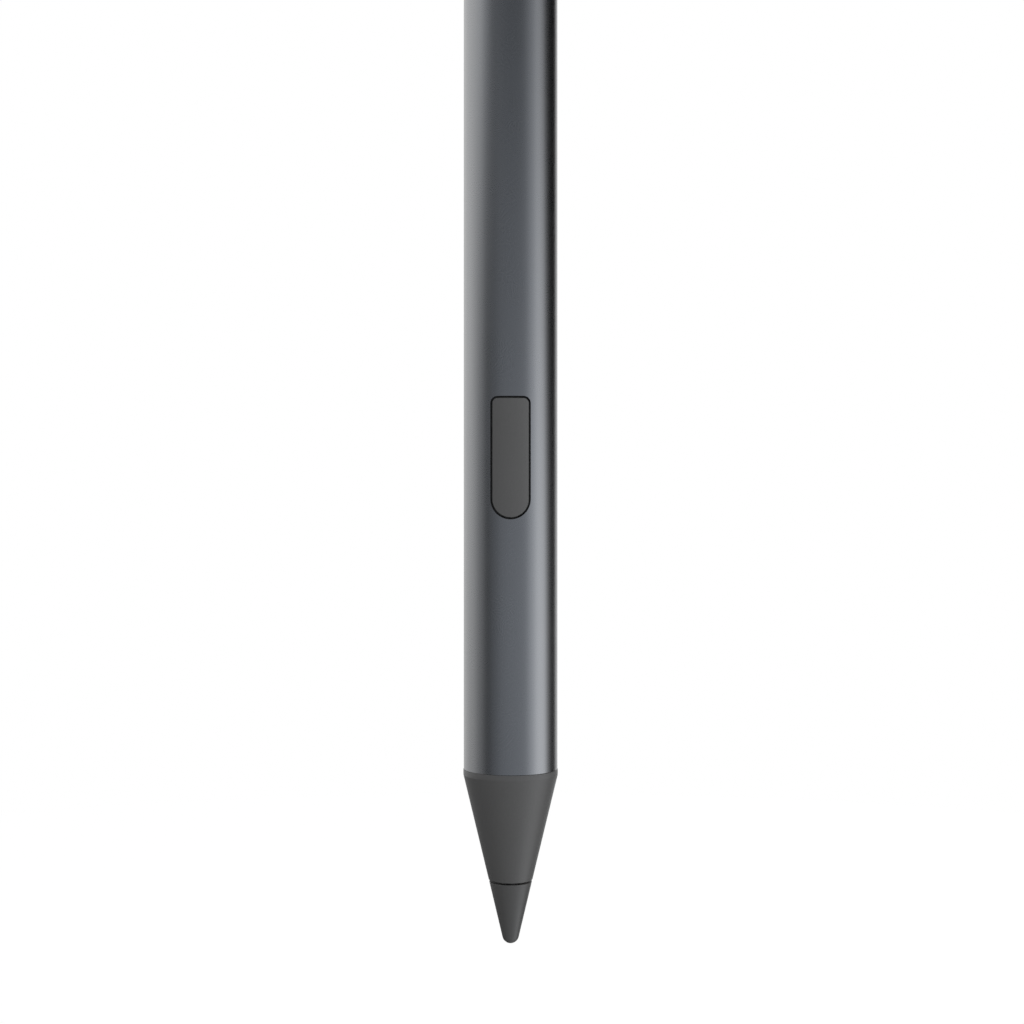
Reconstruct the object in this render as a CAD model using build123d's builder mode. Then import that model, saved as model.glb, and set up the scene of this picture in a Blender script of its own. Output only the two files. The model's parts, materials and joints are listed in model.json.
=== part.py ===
from build123d import *

import math
import os

# Stylus pen with a pull-off nib, a side button and a tail sleeve that slides off its charging port.
# Z runs up the pen's axis from the nib's point. The side button faces -Y. Sizes are in millimetres.

# Driving dimensions

# Barrel
barrel_diameter = 9.5
barrel_wall = 0.55
edge_break = 0.12
seam_break = 0.03
slide_gap = 0.05
seat_gap = 0.02

# Nib and front cone
nib_length = 6.3
nib_top_diameter = 4.34
nib_end_radius = 0.85
nib_gap = 0.2
cone_nose_diameter = 4.44
cone_length = 10.65
rim_height = 0.55
rim_overhang = 0.04
edge_round = 0.04
cone_wall = 0.9
cone_spigot_length = 6.3
chamber_diameter = 5.2
nose_wall = 1.7

# Writing shaft, its bearings and its spring
pin_diameter = 1.2
pin_length = 2.95
pin_clearance = 0.02
nib_sleeve_wall = 0.28
nib_sleeve_slit = 0.3
shaft_diameter = 1.8
shaft_shoulder = 0.7
running_gap = 0.04
nose_clearance = 0.15
bush_wall = 0.75
bush_flange = 1.0
electrode_length = 6.0
electrode_wall = 0.3
upper_bush_length = 1.2
collar_lip = 0.2
collar_thickness = 1.0
spring_wire = 0.25
spring_turns = 6
spring_length = 7.0
spring_clearance = 0.15
spring_bore_clearance = 0.25

# Force gauge
gauge_wall = 1.0
pad_diameter = 3.0
pad_thickness = 0.5
sensor_diameter = 5.2
sensor_thickness = 1.6
sensor_cap_thickness = 2.0
sensor_ribbon_width = 1.6
sensor_ribbon_thickness = 0.12
sensor_ribbon_reach = 2.5
ribbon_slot_clearance = 0.1

# Inner frame and circuit board
head_gap = 0.1
frame_wall = 0.55
bulkhead = 0.6
board_length = 57.0
board_thickness = 0.8
board_end_gap = 0.4
screw_inset = 4.5
screw_diameter = 1.0
screw_head_diameter = 1.9
screw_head_height = 0.5
screw_drive_width = 0.25
screw_drive_depth = 0.25
screw_clearance = 0.15
boss_wall = 0.6
boss_skin = 0.8

# Parts on the circuit board
controller_size = 5.0
radio_size = 4.0
charger_size = 3.0
chip_height = 0.8
chip_bevel = 0.1
passive_length = 1.0
passive_width = 0.5
passive_height = 0.4
passive_pitch = 1.4
passive_count = 4
part_gap = 0.5
connector_width = 3.2
connector_length = 2.4
connector_height = 0.9
connector_inset = 2.0

# Side button and its switch
button_width = 3.6
button_length = 11.8
button_gap = 0.2
button_corner = 0.5
button_offset = 25.5
button_travel = 0.25
button_edge = 0.06
flange_lip = 0.5
flange_thickness = 0.5
flange_gap = 0.05
stem_diameter = 2.0
stem_length = 0.85
switch_length = 4.2
switch_width = 3.2
switch_height = 1.5
actuator_diameter = 1.6
actuator_height = 0.55
actuator_depth = 0.75

# Battery
battery_length = 30.0
battery_gap = 4.0
battery_end_gap = 0.1
cradle_edge = 0.9
battery_edge = 0.25
battery_groove = 0.25
battery_groove_inset = 1.5
battery_pad_thickness = 0.2
battery_pad_inset = 1.0
tab_width = 1.2
tab_thickness = 0.15
tab_spacing = 4.8
tab_reach = 2.0
tab_height = 1.2

# Ribbon cable
ribbon_width = 2.0
ribbon_thickness = 0.15
ribbon_clearance = 0.24
ribbon_bend = 0.8
ribbon_lead = 1.3

# Port core and receptacle
core_gap = 1.5
core_spigot_length = 5.5
core_spigot_wall = 0.85
core_web = 0.5
core_engagement = 6.0
core_rear_wall = 0.95
core_side_wall = 0.3
port_length = 8.94
port_height = 3.16
port_wall = 0.3
port_setback = 0.45
port_margin = 1.2
port_seat = 0.05
tongue_length = 6.6
tongue_thickness = 0.7
tongue_setback = 0.8
tongue_base = 1.5
contact_count = 12
contact_pitch = 0.5
contact_width = 0.25
contact_thickness = 0.05
contact_inset = 0.3
port_board_thickness = 0.5
led_width = 1.0
led_length = 0.6
led_height = 0.6
pipe_diameter = 1.2
pipe_margin = 1.0

# Tail sleeve and its end
sleeve_gap = 0.15
sleeve_travel = 14.0
seal_section = 0.9
seal_squeeze_gap = 0.02
seal_inset = 1.4
stop_pin_diameter = 1.0
stop_pin_inset = 2.35
stop_pin_seat = 0.3
stop_pin_reach = 0.35
stop_clearance = 0.05
stop_room = 0.4
cap_height = 4.0
cap_spigot = 1.6
cap_spigot_gap = 0.4
cap_wall = 1.0
cap_top_wall = 1.3
cap_round = 1.1
post_diameter = 4.4
post_gap = 0.5
antenna_thickness = 0.15
antenna_length = 2.2
antenna_opening = 1.5

# Worked out from the driving dimensions

# Radii and heights of the front end
barrel_radius = barrel_diameter / 2
bore_radius = barrel_radius - barrel_wall
insert_radius = bore_radius - slide_gap
nib_top_radius = nib_top_diameter / 2
nose_radius = cone_nose_diameter / 2
rim_radius = barrel_radius + rim_overhang
chamber_radius = chamber_diameter / 2
seat_radius = chamber_radius - seat_gap
nose_z = nib_length + nib_gap
rim_z = nose_z + cone_length
barrel_z = rim_z + rim_height
spigot_top_z = barrel_z + cone_spigot_length
cone_slope = (rim_radius - nose_radius) / cone_length
chamber_z = nose_z + (chamber_radius + cone_wall - nose_radius) / cone_slope

# Shaft line
pin_radius = pin_diameter / 2
shaft_radius = shaft_diameter / 2
pin_z = nib_length - pin_length
shoulder_z = nib_length + shaft_shoulder
guide_radius = shaft_radius + running_gap
bush_radius = guide_radius + bush_wall
bush_z = nose_z + nose_wall
electrode_z = chamber_z + bush_flange
upper_bush_z = electrode_z + electrode_length
collar_z = upper_bush_z + upper_bush_length
spring_z = collar_z + collar_thickness
spring_seat_z = spring_z + spring_length
spring_radius = shaft_radius + spring_clearance + spring_wire / 2
spring_outer = spring_radius + spring_wire / 2
collar_radius = spring_outer + collar_lip
spring_bore_radius = spring_outer + spring_bore_clearance

# Force gauge
pad_z = spring_seat_z + gauge_wall
sensor_z = pad_z + pad_thickness
sensor_cap_z = sensor_z + sensor_thickness
head_z = spigot_top_z + head_gap
head_top_z = sensor_cap_z + sensor_cap_thickness
sensor_radius = sensor_diameter / 2
sensor_pocket_radius = sensor_radius + slide_gap

# Side button, from the barrel inwards to the board
button_z = barrel_z + button_offset + button_length / 2
flange_half_width = button_width / 2 + button_gap + flange_lip
flange_front_y = flange_gap - math.sqrt(bore_radius**2 - flange_half_width**2)
flange_back_y = flange_front_y + flange_thickness
stem_end_y = flange_back_y + stem_length
actuator_top_y = stem_end_y + seat_gap
switch_top_y = actuator_top_y + actuator_height
board_front_y = switch_top_y + switch_height
frame_cut_y = board_front_y + board_thickness

# Inner frame and board
frame_radius = insert_radius
frame_inner = frame_radius - frame_wall
board_z = head_top_z + board_end_gap
board_top_z = board_z + board_length
ledge_inner_x = math.sqrt(frame_inner**2 - frame_cut_y**2)
ledge_outer_x = math.sqrt(frame_radius**2 - frame_cut_y**2)
board_width = ledge_inner_x + ledge_outer_x
screw_bite = frame_radius - frame_cut_y - boss_skin
connector_z = board_top_z - connector_inset
upper_screw_z = connector_z - connector_length / 2 - screw_head_diameter
screw_spots = [(0, board_z + screw_inset), (0, upper_screw_z)]
chip_start_z = button_z + button_length / 2 + button_gap + flange_lip

# Battery bay
cell_z = board_top_z + battery_gap
cell_top_z = cell_z + battery_length
cell_radius = frame_inner - battery_pad_thickness - 2 * seat_gap
cradle_z = cell_z - battery_end_gap
frame_top_z = cell_top_z + battery_end_gap + bulkhead

# Port core and tail
core_z = frame_top_z + core_gap
barrel_top_z = core_z + core_spigot_length
barrel_length = barrel_top_z - barrel_z
sleeve_z = barrel_top_z + sleeve_gap
core_top_z = sleeve_z + sleeve_travel + core_engagement
cap_spigot_z = core_top_z + cap_spigot_gap
sleeve_top_z = cap_spigot_z + cap_spigot
pen_length = sleeve_top_z + cap_height
core_web_z = barrel_top_z - core_web
core_hollow_radius = insert_radius - core_spigot_wall
port_z = barrel_top_z + port_margin + port_length / 2
port_top_z = port_z + port_length / 2
port_mouth_y = port_setback - insert_radius
port_board_back_y = insert_radius - core_rear_wall
port_board_y = port_board_back_y - port_board_thickness
port_depth = port_board_y - port_mouth_y
pocket_depth = port_board_back_y + port_seat
pocket_half = math.sqrt((insert_radius - core_side_wall) ** 2 - pocket_depth**2)
port_board_width = 2 * (pocket_half - port_seat)
pipe_z = port_top_z + pipe_margin + pipe_diameter / 2
pocket_top_z = pipe_z + pipe_diameter + led_length
port_board_z = core_web_z + port_seat
port_board_top_z = pocket_top_z - port_seat
seal_z = core_top_z - seal_inset
seal_radius = bore_radius - seal_squeeze_gap - seal_section / 2
stop_pin_z = sleeve_z + stop_pin_inset
stop_pin_radius = stop_pin_diameter / 2
cap_cavity_z = pen_length - cap_top_wall
post_top_z = cap_cavity_z - post_gap

# Parts that stand on their lower face take this alignment
STAND = (Align.CENTER, Align.CENTER, Align.MIN)


def button_outline(grow):
    """The button's outline, square at the tail end and round at the tip end, grown all round."""
    width = button_width + 2 * grow
    length = button_length + 2 * grow
    with BuildSketch() as outline:
        with Locations((0, length / 2)):
            Rectangle(width, length - width / 2, align=(Align.CENTER, Align.MAX))
        fillet(outline.vertices().group_by(Axis.Y)[-1], button_corner + grow)
        with Locations((0, (width - length) / 2)):
            Circle(width / 2)
    return outline.sketch


def stadium(length, height):
    """A receptacle's outline: two straight sides along Y, with round ends."""
    with BuildSketch() as outline:
        SlotOverall(length, height, rotation=90)
    return outline.sketch


def biarc(start, start_way, end, end_way):
    """Two arcs that leave start along start_way and reach end along end_way."""
    chord = end - start
    ways = start_way + end_way
    spread = 2 * (1 - start_way.dot(end_way))
    reach = math.sqrt(chord.dot(ways) ** 2 + spread * chord.dot(chord)) - chord.dot(ways)
    first_corner = start + start_way * (reach / spread)
    last_corner = end - end_way * (reach / spread)
    middle = (first_corner + last_corner) * 0.5
    TangentArc(start, middle, tangent=start_way)
    TangentArc(middle, end, tangent=last_corner - first_corner)


# Barrel
with BuildPart() as barrel:
    with Locations((0, 0, barrel_z)):
        Cylinder(barrel_radius, barrel_length, align=STAND)
    chamfer(barrel.edges().filter_by(GeomType.CIRCLE).sort_by(Axis.Z)[-1], edge_break)
    chamfer(barrel.edges().filter_by(GeomType.CIRCLE).sort_by(Axis.Z)[0], seam_break)
    with Locations((0, 0, barrel_z)):
        Hole(bore_radius)
    with BuildSketch(Plane.XZ):
        with Locations((0, button_z)):
            add(button_outline(button_gap))
    extrude(amount=barrel_diameter, mode=Mode.SUBTRACT)

# Front cone, with its rim, its spigot in the barrel and its stepped bore
with BuildPart() as front_cone:
    with BuildSketch(Plane.XZ):
        with BuildLine():
            Polyline(
                (shaft_radius + nose_clearance, nose_z),
                (nose_radius, nose_z),
                (rim_radius, rim_z),
                (rim_radius, barrel_z),
                (insert_radius, barrel_z),
                (insert_radius, spigot_top_z),
                (chamber_radius, spigot_top_z),
                (chamber_radius, chamber_z),
                (bush_radius + seat_gap, chamber_z),
                (bush_radius + seat_gap, bush_z),
                (shaft_radius + nose_clearance, bush_z),
                close=True,
            )
        make_face()
    revolve(axis=Axis.Z)
    nose_edges = front_cone.edges().filter_by(GeomType.CIRCLE).group_by(Axis.Z)[0]
    fillet(nose_edges.sort_by(SortBy.RADIUS)[-1], edge_round)

# Nib, its side tangent to its rounded end
nib_reach = math.hypot(nib_top_radius, nib_length - nib_end_radius)
nib_lean = math.atan2(nib_top_radius, nib_length - nib_end_radius)
nib_half_angle = math.degrees(nib_lean - math.asin(nib_end_radius / nib_reach))
nib_socket_radius = pin_radius + pin_clearance + nib_sleeve_wall + seat_gap
with BuildPart() as nib:
    with BuildSketch(Plane.XZ):
        with BuildLine():
            rounded_end = CenterArc((0, nib_end_radius), nib_end_radius, -90, 90 - nib_half_angle)
            Polyline(rounded_end @ 1, (nib_top_radius, nib_length), (0, nib_length), (0, 0))
        make_face()
    revolve(axis=Axis.Z)
    fillet(nib.edges().filter_by(GeomType.CIRCLE).sort_by(Axis.Z)[-1], edge_round)
    with Locations((0, 0, nib_length)):
        Hole(nib_socket_radius, pin_length + seat_gap)

# Split sleeve that grips the pin
with BuildPart() as nib_sleeve:
    with BuildSketch(Plane.XY.offset(pin_z)):
        Circle(nib_socket_radius - seat_gap)
        Circle(pin_radius + pin_clearance, mode=Mode.SUBTRACT)
        Rectangle(nib_sleeve_slit, barrel_radius, align=(Align.CENTER, Align.MIN), mode=Mode.SUBTRACT)
    extrude(amount=pin_length - nib_sleeve_wall)

# Writing shaft: pin, shoulder, collar and pusher
with BuildPart() as writing_shaft:
    with BuildSketch(Plane.XZ):
        with BuildLine():
            Polyline(
                (0, pin_z),
                (pin_radius - edge_break, pin_z),
                (pin_radius, pin_z + edge_break),
                (pin_radius, shoulder_z),
                (shaft_radius, shoulder_z),
                (shaft_radius, collar_z),
                (collar_radius, collar_z),
                (collar_radius, spring_z),
                (shaft_radius, spring_z),
                (shaft_radius, pad_z),
                (0, pad_z),
                close=True,
            )
        make_face()
    revolve(axis=Axis.Z)

# Flanged lower bush, seated in the cone's nose
with BuildPart() as lower_guide_bush:
    with Locations((0, 0, bush_z)):
        Cylinder(bush_radius, chamber_z - bush_z, align=STAND)
    with Locations((0, 0, chamber_z)):
        Cylinder(seat_radius, bush_flange, align=STAND)
        Hole(guide_radius)

# Tilt electrode, a ring between the two bushes
with BuildPart() as tilt_electrode:
    with Locations((0, 0, electrode_z)):
        Cylinder(seat_radius, electrode_length, align=STAND)
        Hole(seat_radius - electrode_wall)

# Upper bush, the shaft's forward stop
with BuildPart() as upper_guide_bush:
    with Locations((0, 0, upper_bush_z)):
        Cylinder(seat_radius, upper_bush_length, align=STAND)
        Hole(guide_radius)

# Return spring, a helix of quarter turns between the collar and the frame
spring_pitch = (spring_length - spring_wire - 2 * seat_gap) / spring_turns
spring_rise = spring_pitch / (2 * math.pi)


def spring_point(turn):
    """The spring's centre line after this many turns."""
    angle = 2 * math.pi * turn
    height = spring_z + seat_gap + spring_wire / 2 + spring_pitch * turn
    return Vector(spring_radius * math.cos(angle), spring_radius * math.sin(angle), height)


def spring_way(turn):
    """The direction of the spring's centre line after this many turns."""
    angle = 2 * math.pi * turn
    return Vector(-spring_radius * math.sin(angle), spring_radius * math.cos(angle), spring_rise).normalized()


with BuildPart() as return_spring:
    with BuildLine() as spring_line:
        for quarter in range(4 * spring_turns):
            turn, next_turn = quarter / 4, (quarter + 1) / 4
            biarc(spring_point(turn), spring_way(turn), spring_point(next_turn), spring_way(next_turn))
    with BuildSketch(Plane(spring_point(0), z_dir=spring_way(0))):
        Circle(spring_wire / 2)
    sweep(path=spring_line.wire())
print("gap between the spring's turns", round(spring_pitch - spring_wire, 3))

# Pressure pad between the shaft and the sensor
with BuildPart() as pressure_pad:
    with Locations((0, 0, pad_z)):
        Cylinder(pad_diameter / 2, pad_thickness, align=STAND)

# Pressure sensor
with BuildPart() as pressure_sensor:
    with Locations((0, 0, sensor_z)):
        Cylinder(sensor_radius, sensor_thickness, align=STAND)
    chamfer(pressure_sensor.edges().filter_by(GeomType.CIRCLE).sort_by(Axis.Z)[-1], edge_break)

# Sensor ribbon, up the board's front face
sensor_ribbon_y = board_front_y - seat_gap - sensor_ribbon_thickness / 2
sensor_ribbon_z = sensor_cap_z + seat_gap
with BuildPart() as sensor_ribbon:
    with BuildSketch(Plane.XY.offset(sensor_ribbon_z)):
        with Locations((0, sensor_ribbon_y)):
            Rectangle(sensor_ribbon_width, sensor_ribbon_thickness)
    extrude(amount=board_z + sensor_ribbon_reach - sensor_ribbon_z)

# Cap that holds the sensor down, slotted for its ribbon
with BuildPart() as sensor_cap:
    with BuildSketch(Plane.XY.offset(sensor_cap_z)):
        Circle(sensor_radius)
        with Locations((0, sensor_ribbon_y)):
            Rectangle(
                sensor_ribbon_width + 2 * ribbon_slot_clearance,
                sensor_ribbon_thickness + 2 * ribbon_slot_clearance,
                mode=Mode.SUBTRACT,
            )
    extrude(amount=sensor_cap_thickness)

# Inner frame: a round head for the spring and the gauge, then a half pipe for the board and the cell
with BuildPart() as inner_frame:
    with Locations((0, 0, head_z)):
        Cylinder(frame_radius, head_top_z - head_z, align=STAND)
        Hole(shaft_radius + nose_clearance)
        Hole(spring_bore_radius, spring_seat_z - head_z)
    with Locations((0, 0, head_top_z)):
        Hole(sensor_pocket_radius, head_top_z - sensor_z)
        Hole(pad_diameter / 2 + slide_gap, head_top_z - pad_z)
    with BuildSketch(Plane.XY.offset(head_top_z)):
        Circle(frame_radius)
        Circle(frame_inner, mode=Mode.SUBTRACT)
    extrude(amount=frame_top_z - head_top_z)
    with Locations((0, 0, cradle_z - bulkhead), (0, 0, frame_top_z - bulkhead)):
        Cylinder(frame_radius, bulkhead, align=STAND)
    board_bay = (head_top_z, cradle_z, frame_cut_y)
    cradle_bay = (cradle_z, frame_top_z, cradle_edge)
    for bay_z, bay_top_z, bay_edge_y in (board_bay, cradle_bay):
        with BuildSketch(Plane.XY.offset(bay_z)):
            with Locations((0, bay_edge_y)):
                Rectangle(barrel_diameter, barrel_diameter, align=(Align.CENTER, Align.MAX))
        extrude(amount=bay_top_z - bay_z, mode=Mode.SUBTRACT)
    with BuildSketch(Plane.XZ.offset(-frame_cut_y)):
        with Locations(*screw_spots):
            Circle(screw_diameter / 2 + boss_wall)
    extrude(amount=frame_cut_y - frame_inner)
    with BuildSketch(Plane.XZ.offset(-frame_cut_y)):
        with Locations(*screw_spots):
            Circle(screw_diameter / 2 + seat_gap)
    extrude(amount=-screw_bite - seat_gap, mode=Mode.SUBTRACT)

# Circuit board on the frame's two ledges
with BuildPart() as circuit_board:
    with BuildSketch(Plane.XZ.offset(-frame_cut_y)):
        with Locations((0, board_z)):
            Rectangle(board_width, board_length, align=(Align.CENTER, Align.MIN))
        with Locations(*screw_spots):
            Circle(screw_diameter / 2 + screw_clearance, mode=Mode.SUBTRACT)
    extrude(amount=board_thickness)

# Two screws that hold the board
with BuildPart() as board_screws:
    with BuildSketch(Plane.XZ.offset(-board_front_y)):
        with Locations(*screw_spots):
            Circle(screw_head_diameter / 2)
    extrude(amount=screw_head_height)
    with BuildSketch(Plane.XZ.offset(-board_front_y)):
        with Locations(*screw_spots):
            Circle(screw_diameter / 2)
    extrude(amount=-board_thickness - screw_bite)
    with BuildSketch(Plane.XZ.offset(screw_head_height - board_front_y)):
        with Locations(*screw_spots):
            Rectangle(screw_diameter, screw_drive_width)
            Rectangle(screw_drive_width, screw_diameter)
    extrude(amount=-screw_drive_depth, mode=Mode.SUBTRACT)

# Each chip follows a row of passives up the board
passive_row_step = passive_length + 2 * part_gap
controller_z = chip_start_z + passive_row_step
radio_z = controller_z + controller_size + passive_row_step
charger_z = radio_z + radio_size + passive_row_step


def chip(size, bottom_z):
    """A square chip on the board's front face."""
    with BuildPart() as body:
        with BuildSketch(Plane.XZ.offset(-board_front_y)):
            with Locations((0, bottom_z)):
                Rectangle(size, size, align=(Align.CENTER, Align.MIN))
        extrude(amount=chip_height)
        chamfer(body.faces().sort_by(Axis.Y)[0].edges(), chip_bevel)
    return body


controller_chip = chip(controller_size, controller_z)
radio_chip = chip(radio_size, radio_z)
charger_chip = chip(charger_size, charger_z)

# Small passives, a row below each chip
with BuildPart() as board_passives:
    with BuildSketch(Plane.XZ.offset(-board_front_y)):
        for chip_z in (controller_z, radio_z, charger_z):
            with Locations((0, chip_z - passive_row_step / 2)):
                with GridLocations(passive_pitch, passive_length, passive_count, 1):
                    Rectangle(passive_width, passive_length)
    extrude(amount=passive_height)

# Connector of the ribbon cable
with BuildPart() as flex_connector:
    with BuildSketch(Plane.XZ.offset(-board_front_y)):
        with Locations((0, connector_z)):
            Rectangle(connector_width, connector_length)
    extrude(amount=connector_height)

# Side button, flush with the barrel, with a flange behind the slot and a stem to the switch
with BuildPart() as side_button:
    with BuildSketch(Plane.XZ.offset(-flange_front_y)):
        with Locations((0, button_z)):
            add(button_outline(0))
    extrude(amount=barrel_diameter)
    with Locations((0, 0, button_z)):
        Cylinder(barrel_radius, 2 * button_length, mode=Mode.INTERSECT)
    chamfer(side_button.faces().sort_by(Axis.Y)[0].edges(), button_edge)
    with BuildSketch(Plane.XZ.offset(-flange_front_y)):
        with Locations((0, button_z)):
            Rectangle(2 * flange_half_width, button_length + 2 * (button_gap + flange_lip))
    extrude(amount=-flange_thickness)
    with BuildSketch(Plane.XZ.offset(-flange_back_y)):
        with Locations((0, button_z)):
            Circle(stem_diameter / 2)
    extrude(amount=-stem_length)

# Switch under the button, and its actuator
with BuildPart() as switch_body:
    with BuildSketch(Plane.XZ.offset(-board_front_y)):
        with Locations((0, button_z)):
            Rectangle(switch_width, switch_length)
    extrude(amount=switch_height)
    with BuildSketch(Plane.XZ.offset(-switch_top_y)):
        with Locations((0, button_z)):
            Circle(actuator_diameter / 2 + slide_gap)
    extrude(amount=-actuator_depth - button_travel - slide_gap, mode=Mode.SUBTRACT)

with BuildPart() as switch_actuator:
    with BuildSketch(Plane.XZ.offset(-actuator_top_y)):
        with Locations((0, button_z)):
            Circle(actuator_diameter / 2)
    extrude(amount=-actuator_height - actuator_depth)

# Battery cell with a crimp groove near its lower end
with BuildPart() as battery_cell:
    with Locations((0, 0, cell_z)):
        Cylinder(cell_radius, battery_length, align=STAND)
    fillet(battery_cell.edges().filter_by(GeomType.CIRCLE), battery_edge)
    with BuildSketch(Plane.XZ):
        with Locations((cell_radius, cell_z + battery_groove_inset)):
            Circle(battery_groove)
    revolve(axis=Axis.Z, mode=Mode.SUBTRACT)

# Foam pad between the cell and the frame
with BuildPart() as battery_pad:
    with BuildSketch(Plane.XY.offset(cell_z + battery_pad_inset)):
        Circle(frame_inner - seat_gap)
        Circle(cell_radius + seat_gap, mode=Mode.SUBTRACT)
        with Locations((0, cradle_edge)):
            Rectangle(barrel_diameter, barrel_diameter, align=(Align.CENTER, Align.MAX), mode=Mode.SUBTRACT)
    extrude(amount=battery_length - 2 * battery_pad_inset)

# Two nickel tabs from the board to the cell's end
tab_face_y = board_front_y - seat_gap
tab_end_z = cell_z - seat_gap
with BuildPart() as battery_tabs:
    for side in (-1, 1):
        with BuildSketch(Plane.YZ.offset(side * tab_spacing / 2)):
            with BuildLine():
                Polyline(
                    (tab_face_y, board_top_z - tab_reach),
                    (tab_face_y, tab_end_z),
                    (tab_face_y - tab_height, tab_end_z),
                    (tab_face_y - tab_height, tab_end_z - tab_thickness),
                    (tab_face_y - tab_thickness, tab_end_z - tab_thickness),
                    (tab_face_y - tab_thickness, board_top_z - tab_reach),
                    close=True,
                )
            make_face()
        extrude(amount=tab_width / 2, both=True)

# Ribbon cable: from its connector, over the cell's front, back to the port board
ribbon_start_y = board_front_y - connector_height / 2
ribbon_run_y = -cell_radius - ribbon_clearance - ribbon_thickness / 2
ribbon_end_y = port_board_y - seat_gap - ribbon_thickness / 2
ribbon_start_z = connector_z + connector_length / 2 + seat_gap
with BuildPart() as ribbon_cable:
    with BuildSketch(Plane.YZ) as ribbon_side:
        with BuildLine():
            FilletPolyline(
                (ribbon_start_y, ribbon_start_z),
                (ribbon_start_y, board_top_z),
                (ribbon_run_y, cell_z - ribbon_lead),
                (ribbon_run_y, cell_top_z + ribbon_bend),
                (ribbon_end_y, core_web_z - ribbon_bend),
                (ribbon_end_y, port_z - port_length / 2 - port_seat),
                radius=ribbon_bend,
            )
        trace(line_width=ribbon_thickness)
    extrude(amount=ribbon_width / 2, both=True)


def core_half(keep):
    """Half of the core under the tail sleeve, with its spigot and its seal groove."""
    with BuildPart() as half:
        with Locations((0, 0, core_z)):
            Cylinder(insert_radius, core_top_z - core_z, align=STAND)
            Hole(core_hollow_radius, core_web_z - core_z)
        with Locations((0, 0, seal_z)):
            Cylinder(barrel_radius, seal_section + 2 * slide_gap, mode=Mode.SUBTRACT)
            Cylinder(seal_radius - seal_section / 2 - slide_gap, seal_section + 2 * slide_gap)
        split(bisect_by=Plane.XZ, keep=keep)
    return half.part


# Core in a front half, with the port's window, and a rear half, with the board's pocket
with BuildPart() as port_core_front:
    add(core_half(Keep.TOP))
    with BuildSketch(Plane.XZ):
        with Locations((0, port_z)):
            add(stadium(port_length + 2 * port_seat, port_height + 2 * port_seat))
        with Locations((0, pipe_z)):
            Circle(pipe_diameter / 2 + seat_gap)
    extrude(amount=barrel_diameter, mode=Mode.SUBTRACT)

with BuildPart() as port_core_rear:
    add(core_half(Keep.BOTTOM))
    with BuildSketch(Plane.XY.offset(core_web_z - core_web)):
        Rectangle(2 * pocket_half, pocket_depth, align=(Align.CENTER, Align.MIN))
    extrude(amount=pocket_top_z - core_web_z + core_web, mode=Mode.SUBTRACT)
    with BuildSketch(Plane.XZ.offset(-barrel_radius)):
        with Locations((0, stop_pin_z - stop_pin_radius - stop_room)):
            Rectangle(
                stop_pin_diameter + 2 * stop_clearance,
                sleeve_travel + stop_pin_diameter + 2 * stop_room,
                align=(Align.CENTER, Align.MIN),
            )
    extrude(amount=barrel_radius - insert_radius + stop_pin_reach + stop_clearance, mode=Mode.SUBTRACT)
    with Locations((0, 0, core_top_z)):
        Cylinder(post_diameter / 2, post_top_z - core_top_z, align=STAND)

# Receptacle shell, its tongue and its two rows of contacts
with BuildPart() as port_shell:
    with BuildSketch(Plane.XZ.offset(-port_board_y)):
        with Locations((0, port_z)):
            add(stadium(port_length, port_height))
            add(stadium(port_length - 2 * port_wall, port_height - 2 * port_wall), mode=Mode.SUBTRACT)
    extrude(amount=port_depth)

base_inset = port_wall + seat_gap
with BuildPart() as port_tongue:
    with BuildSketch(Plane.XZ.offset(-port_board_y)):
        with Locations((0, port_z)):
            add(stadium(port_length - 2 * base_inset, port_height - 2 * base_inset))
    extrude(amount=tongue_base)
    with BuildSketch(Plane.XZ.offset(-port_board_y)):
        with Locations((0, port_z)):
            Rectangle(tongue_thickness, tongue_length)
    extrude(amount=port_depth - tongue_setback)

contact_length = port_depth - tongue_setback - tongue_base - 2 * contact_inset
contact_front_y = port_mouth_y + tongue_setback + contact_inset
with BuildPart() as port_contacts:
    with BuildSketch(Plane.XZ.offset(-contact_front_y - contact_length)):
        for side in (-1, 1):
            with Locations((side * (tongue_thickness + contact_thickness) / 2, port_z)):
                with GridLocations(contact_width, contact_pitch, 1, contact_count):
                    Rectangle(contact_thickness, contact_width)
    extrude(amount=contact_length)

# Port board behind the receptacle, with the charge lamp and its light pipe
with BuildPart() as port_board:
    with BuildSketch(Plane.XZ.offset(-port_board_back_y)):
        with Locations((0, port_board_z)):
            Rectangle(port_board_width, port_board_top_z - port_board_z, align=(Align.CENTER, Align.MIN))
    extrude(amount=port_board_thickness)

with BuildPart() as charge_led:
    with BuildSketch(Plane.XZ.offset(-port_board_y)):
        with Locations((0, pipe_z)):
            Rectangle(led_width, led_length)
    extrude(amount=led_height)

with BuildPart() as light_pipe:
    with BuildSketch(Plane.XZ.offset(-port_board_y + led_height + seat_gap)):
        with Locations((0, pipe_z)):
            Circle(pipe_diameter / 2)
    extrude(amount=port_board_y - led_height - seat_gap + insert_radius - slide_gap)

# Antenna strip wrapped round the core's post
with BuildPart() as antenna_strip:
    with BuildSketch(Plane.XY.offset(post_top_z - antenna_length)):
        Circle(post_diameter / 2 + seat_gap + antenna_thickness)
        Circle(post_diameter / 2 + seat_gap, mode=Mode.SUBTRACT)
        Rectangle(antenna_opening, barrel_radius, align=(Align.CENTER, Align.MAX), mode=Mode.SUBTRACT)
    extrude(amount=antenna_length)

# Seal ring in the core's groove
with BuildPart() as sleeve_seal:
    with BuildSketch(Plane.XZ):
        with Locations((seal_radius, seal_z)):
            Circle(seal_section / 2)
    revolve(axis=Axis.Z)

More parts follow.
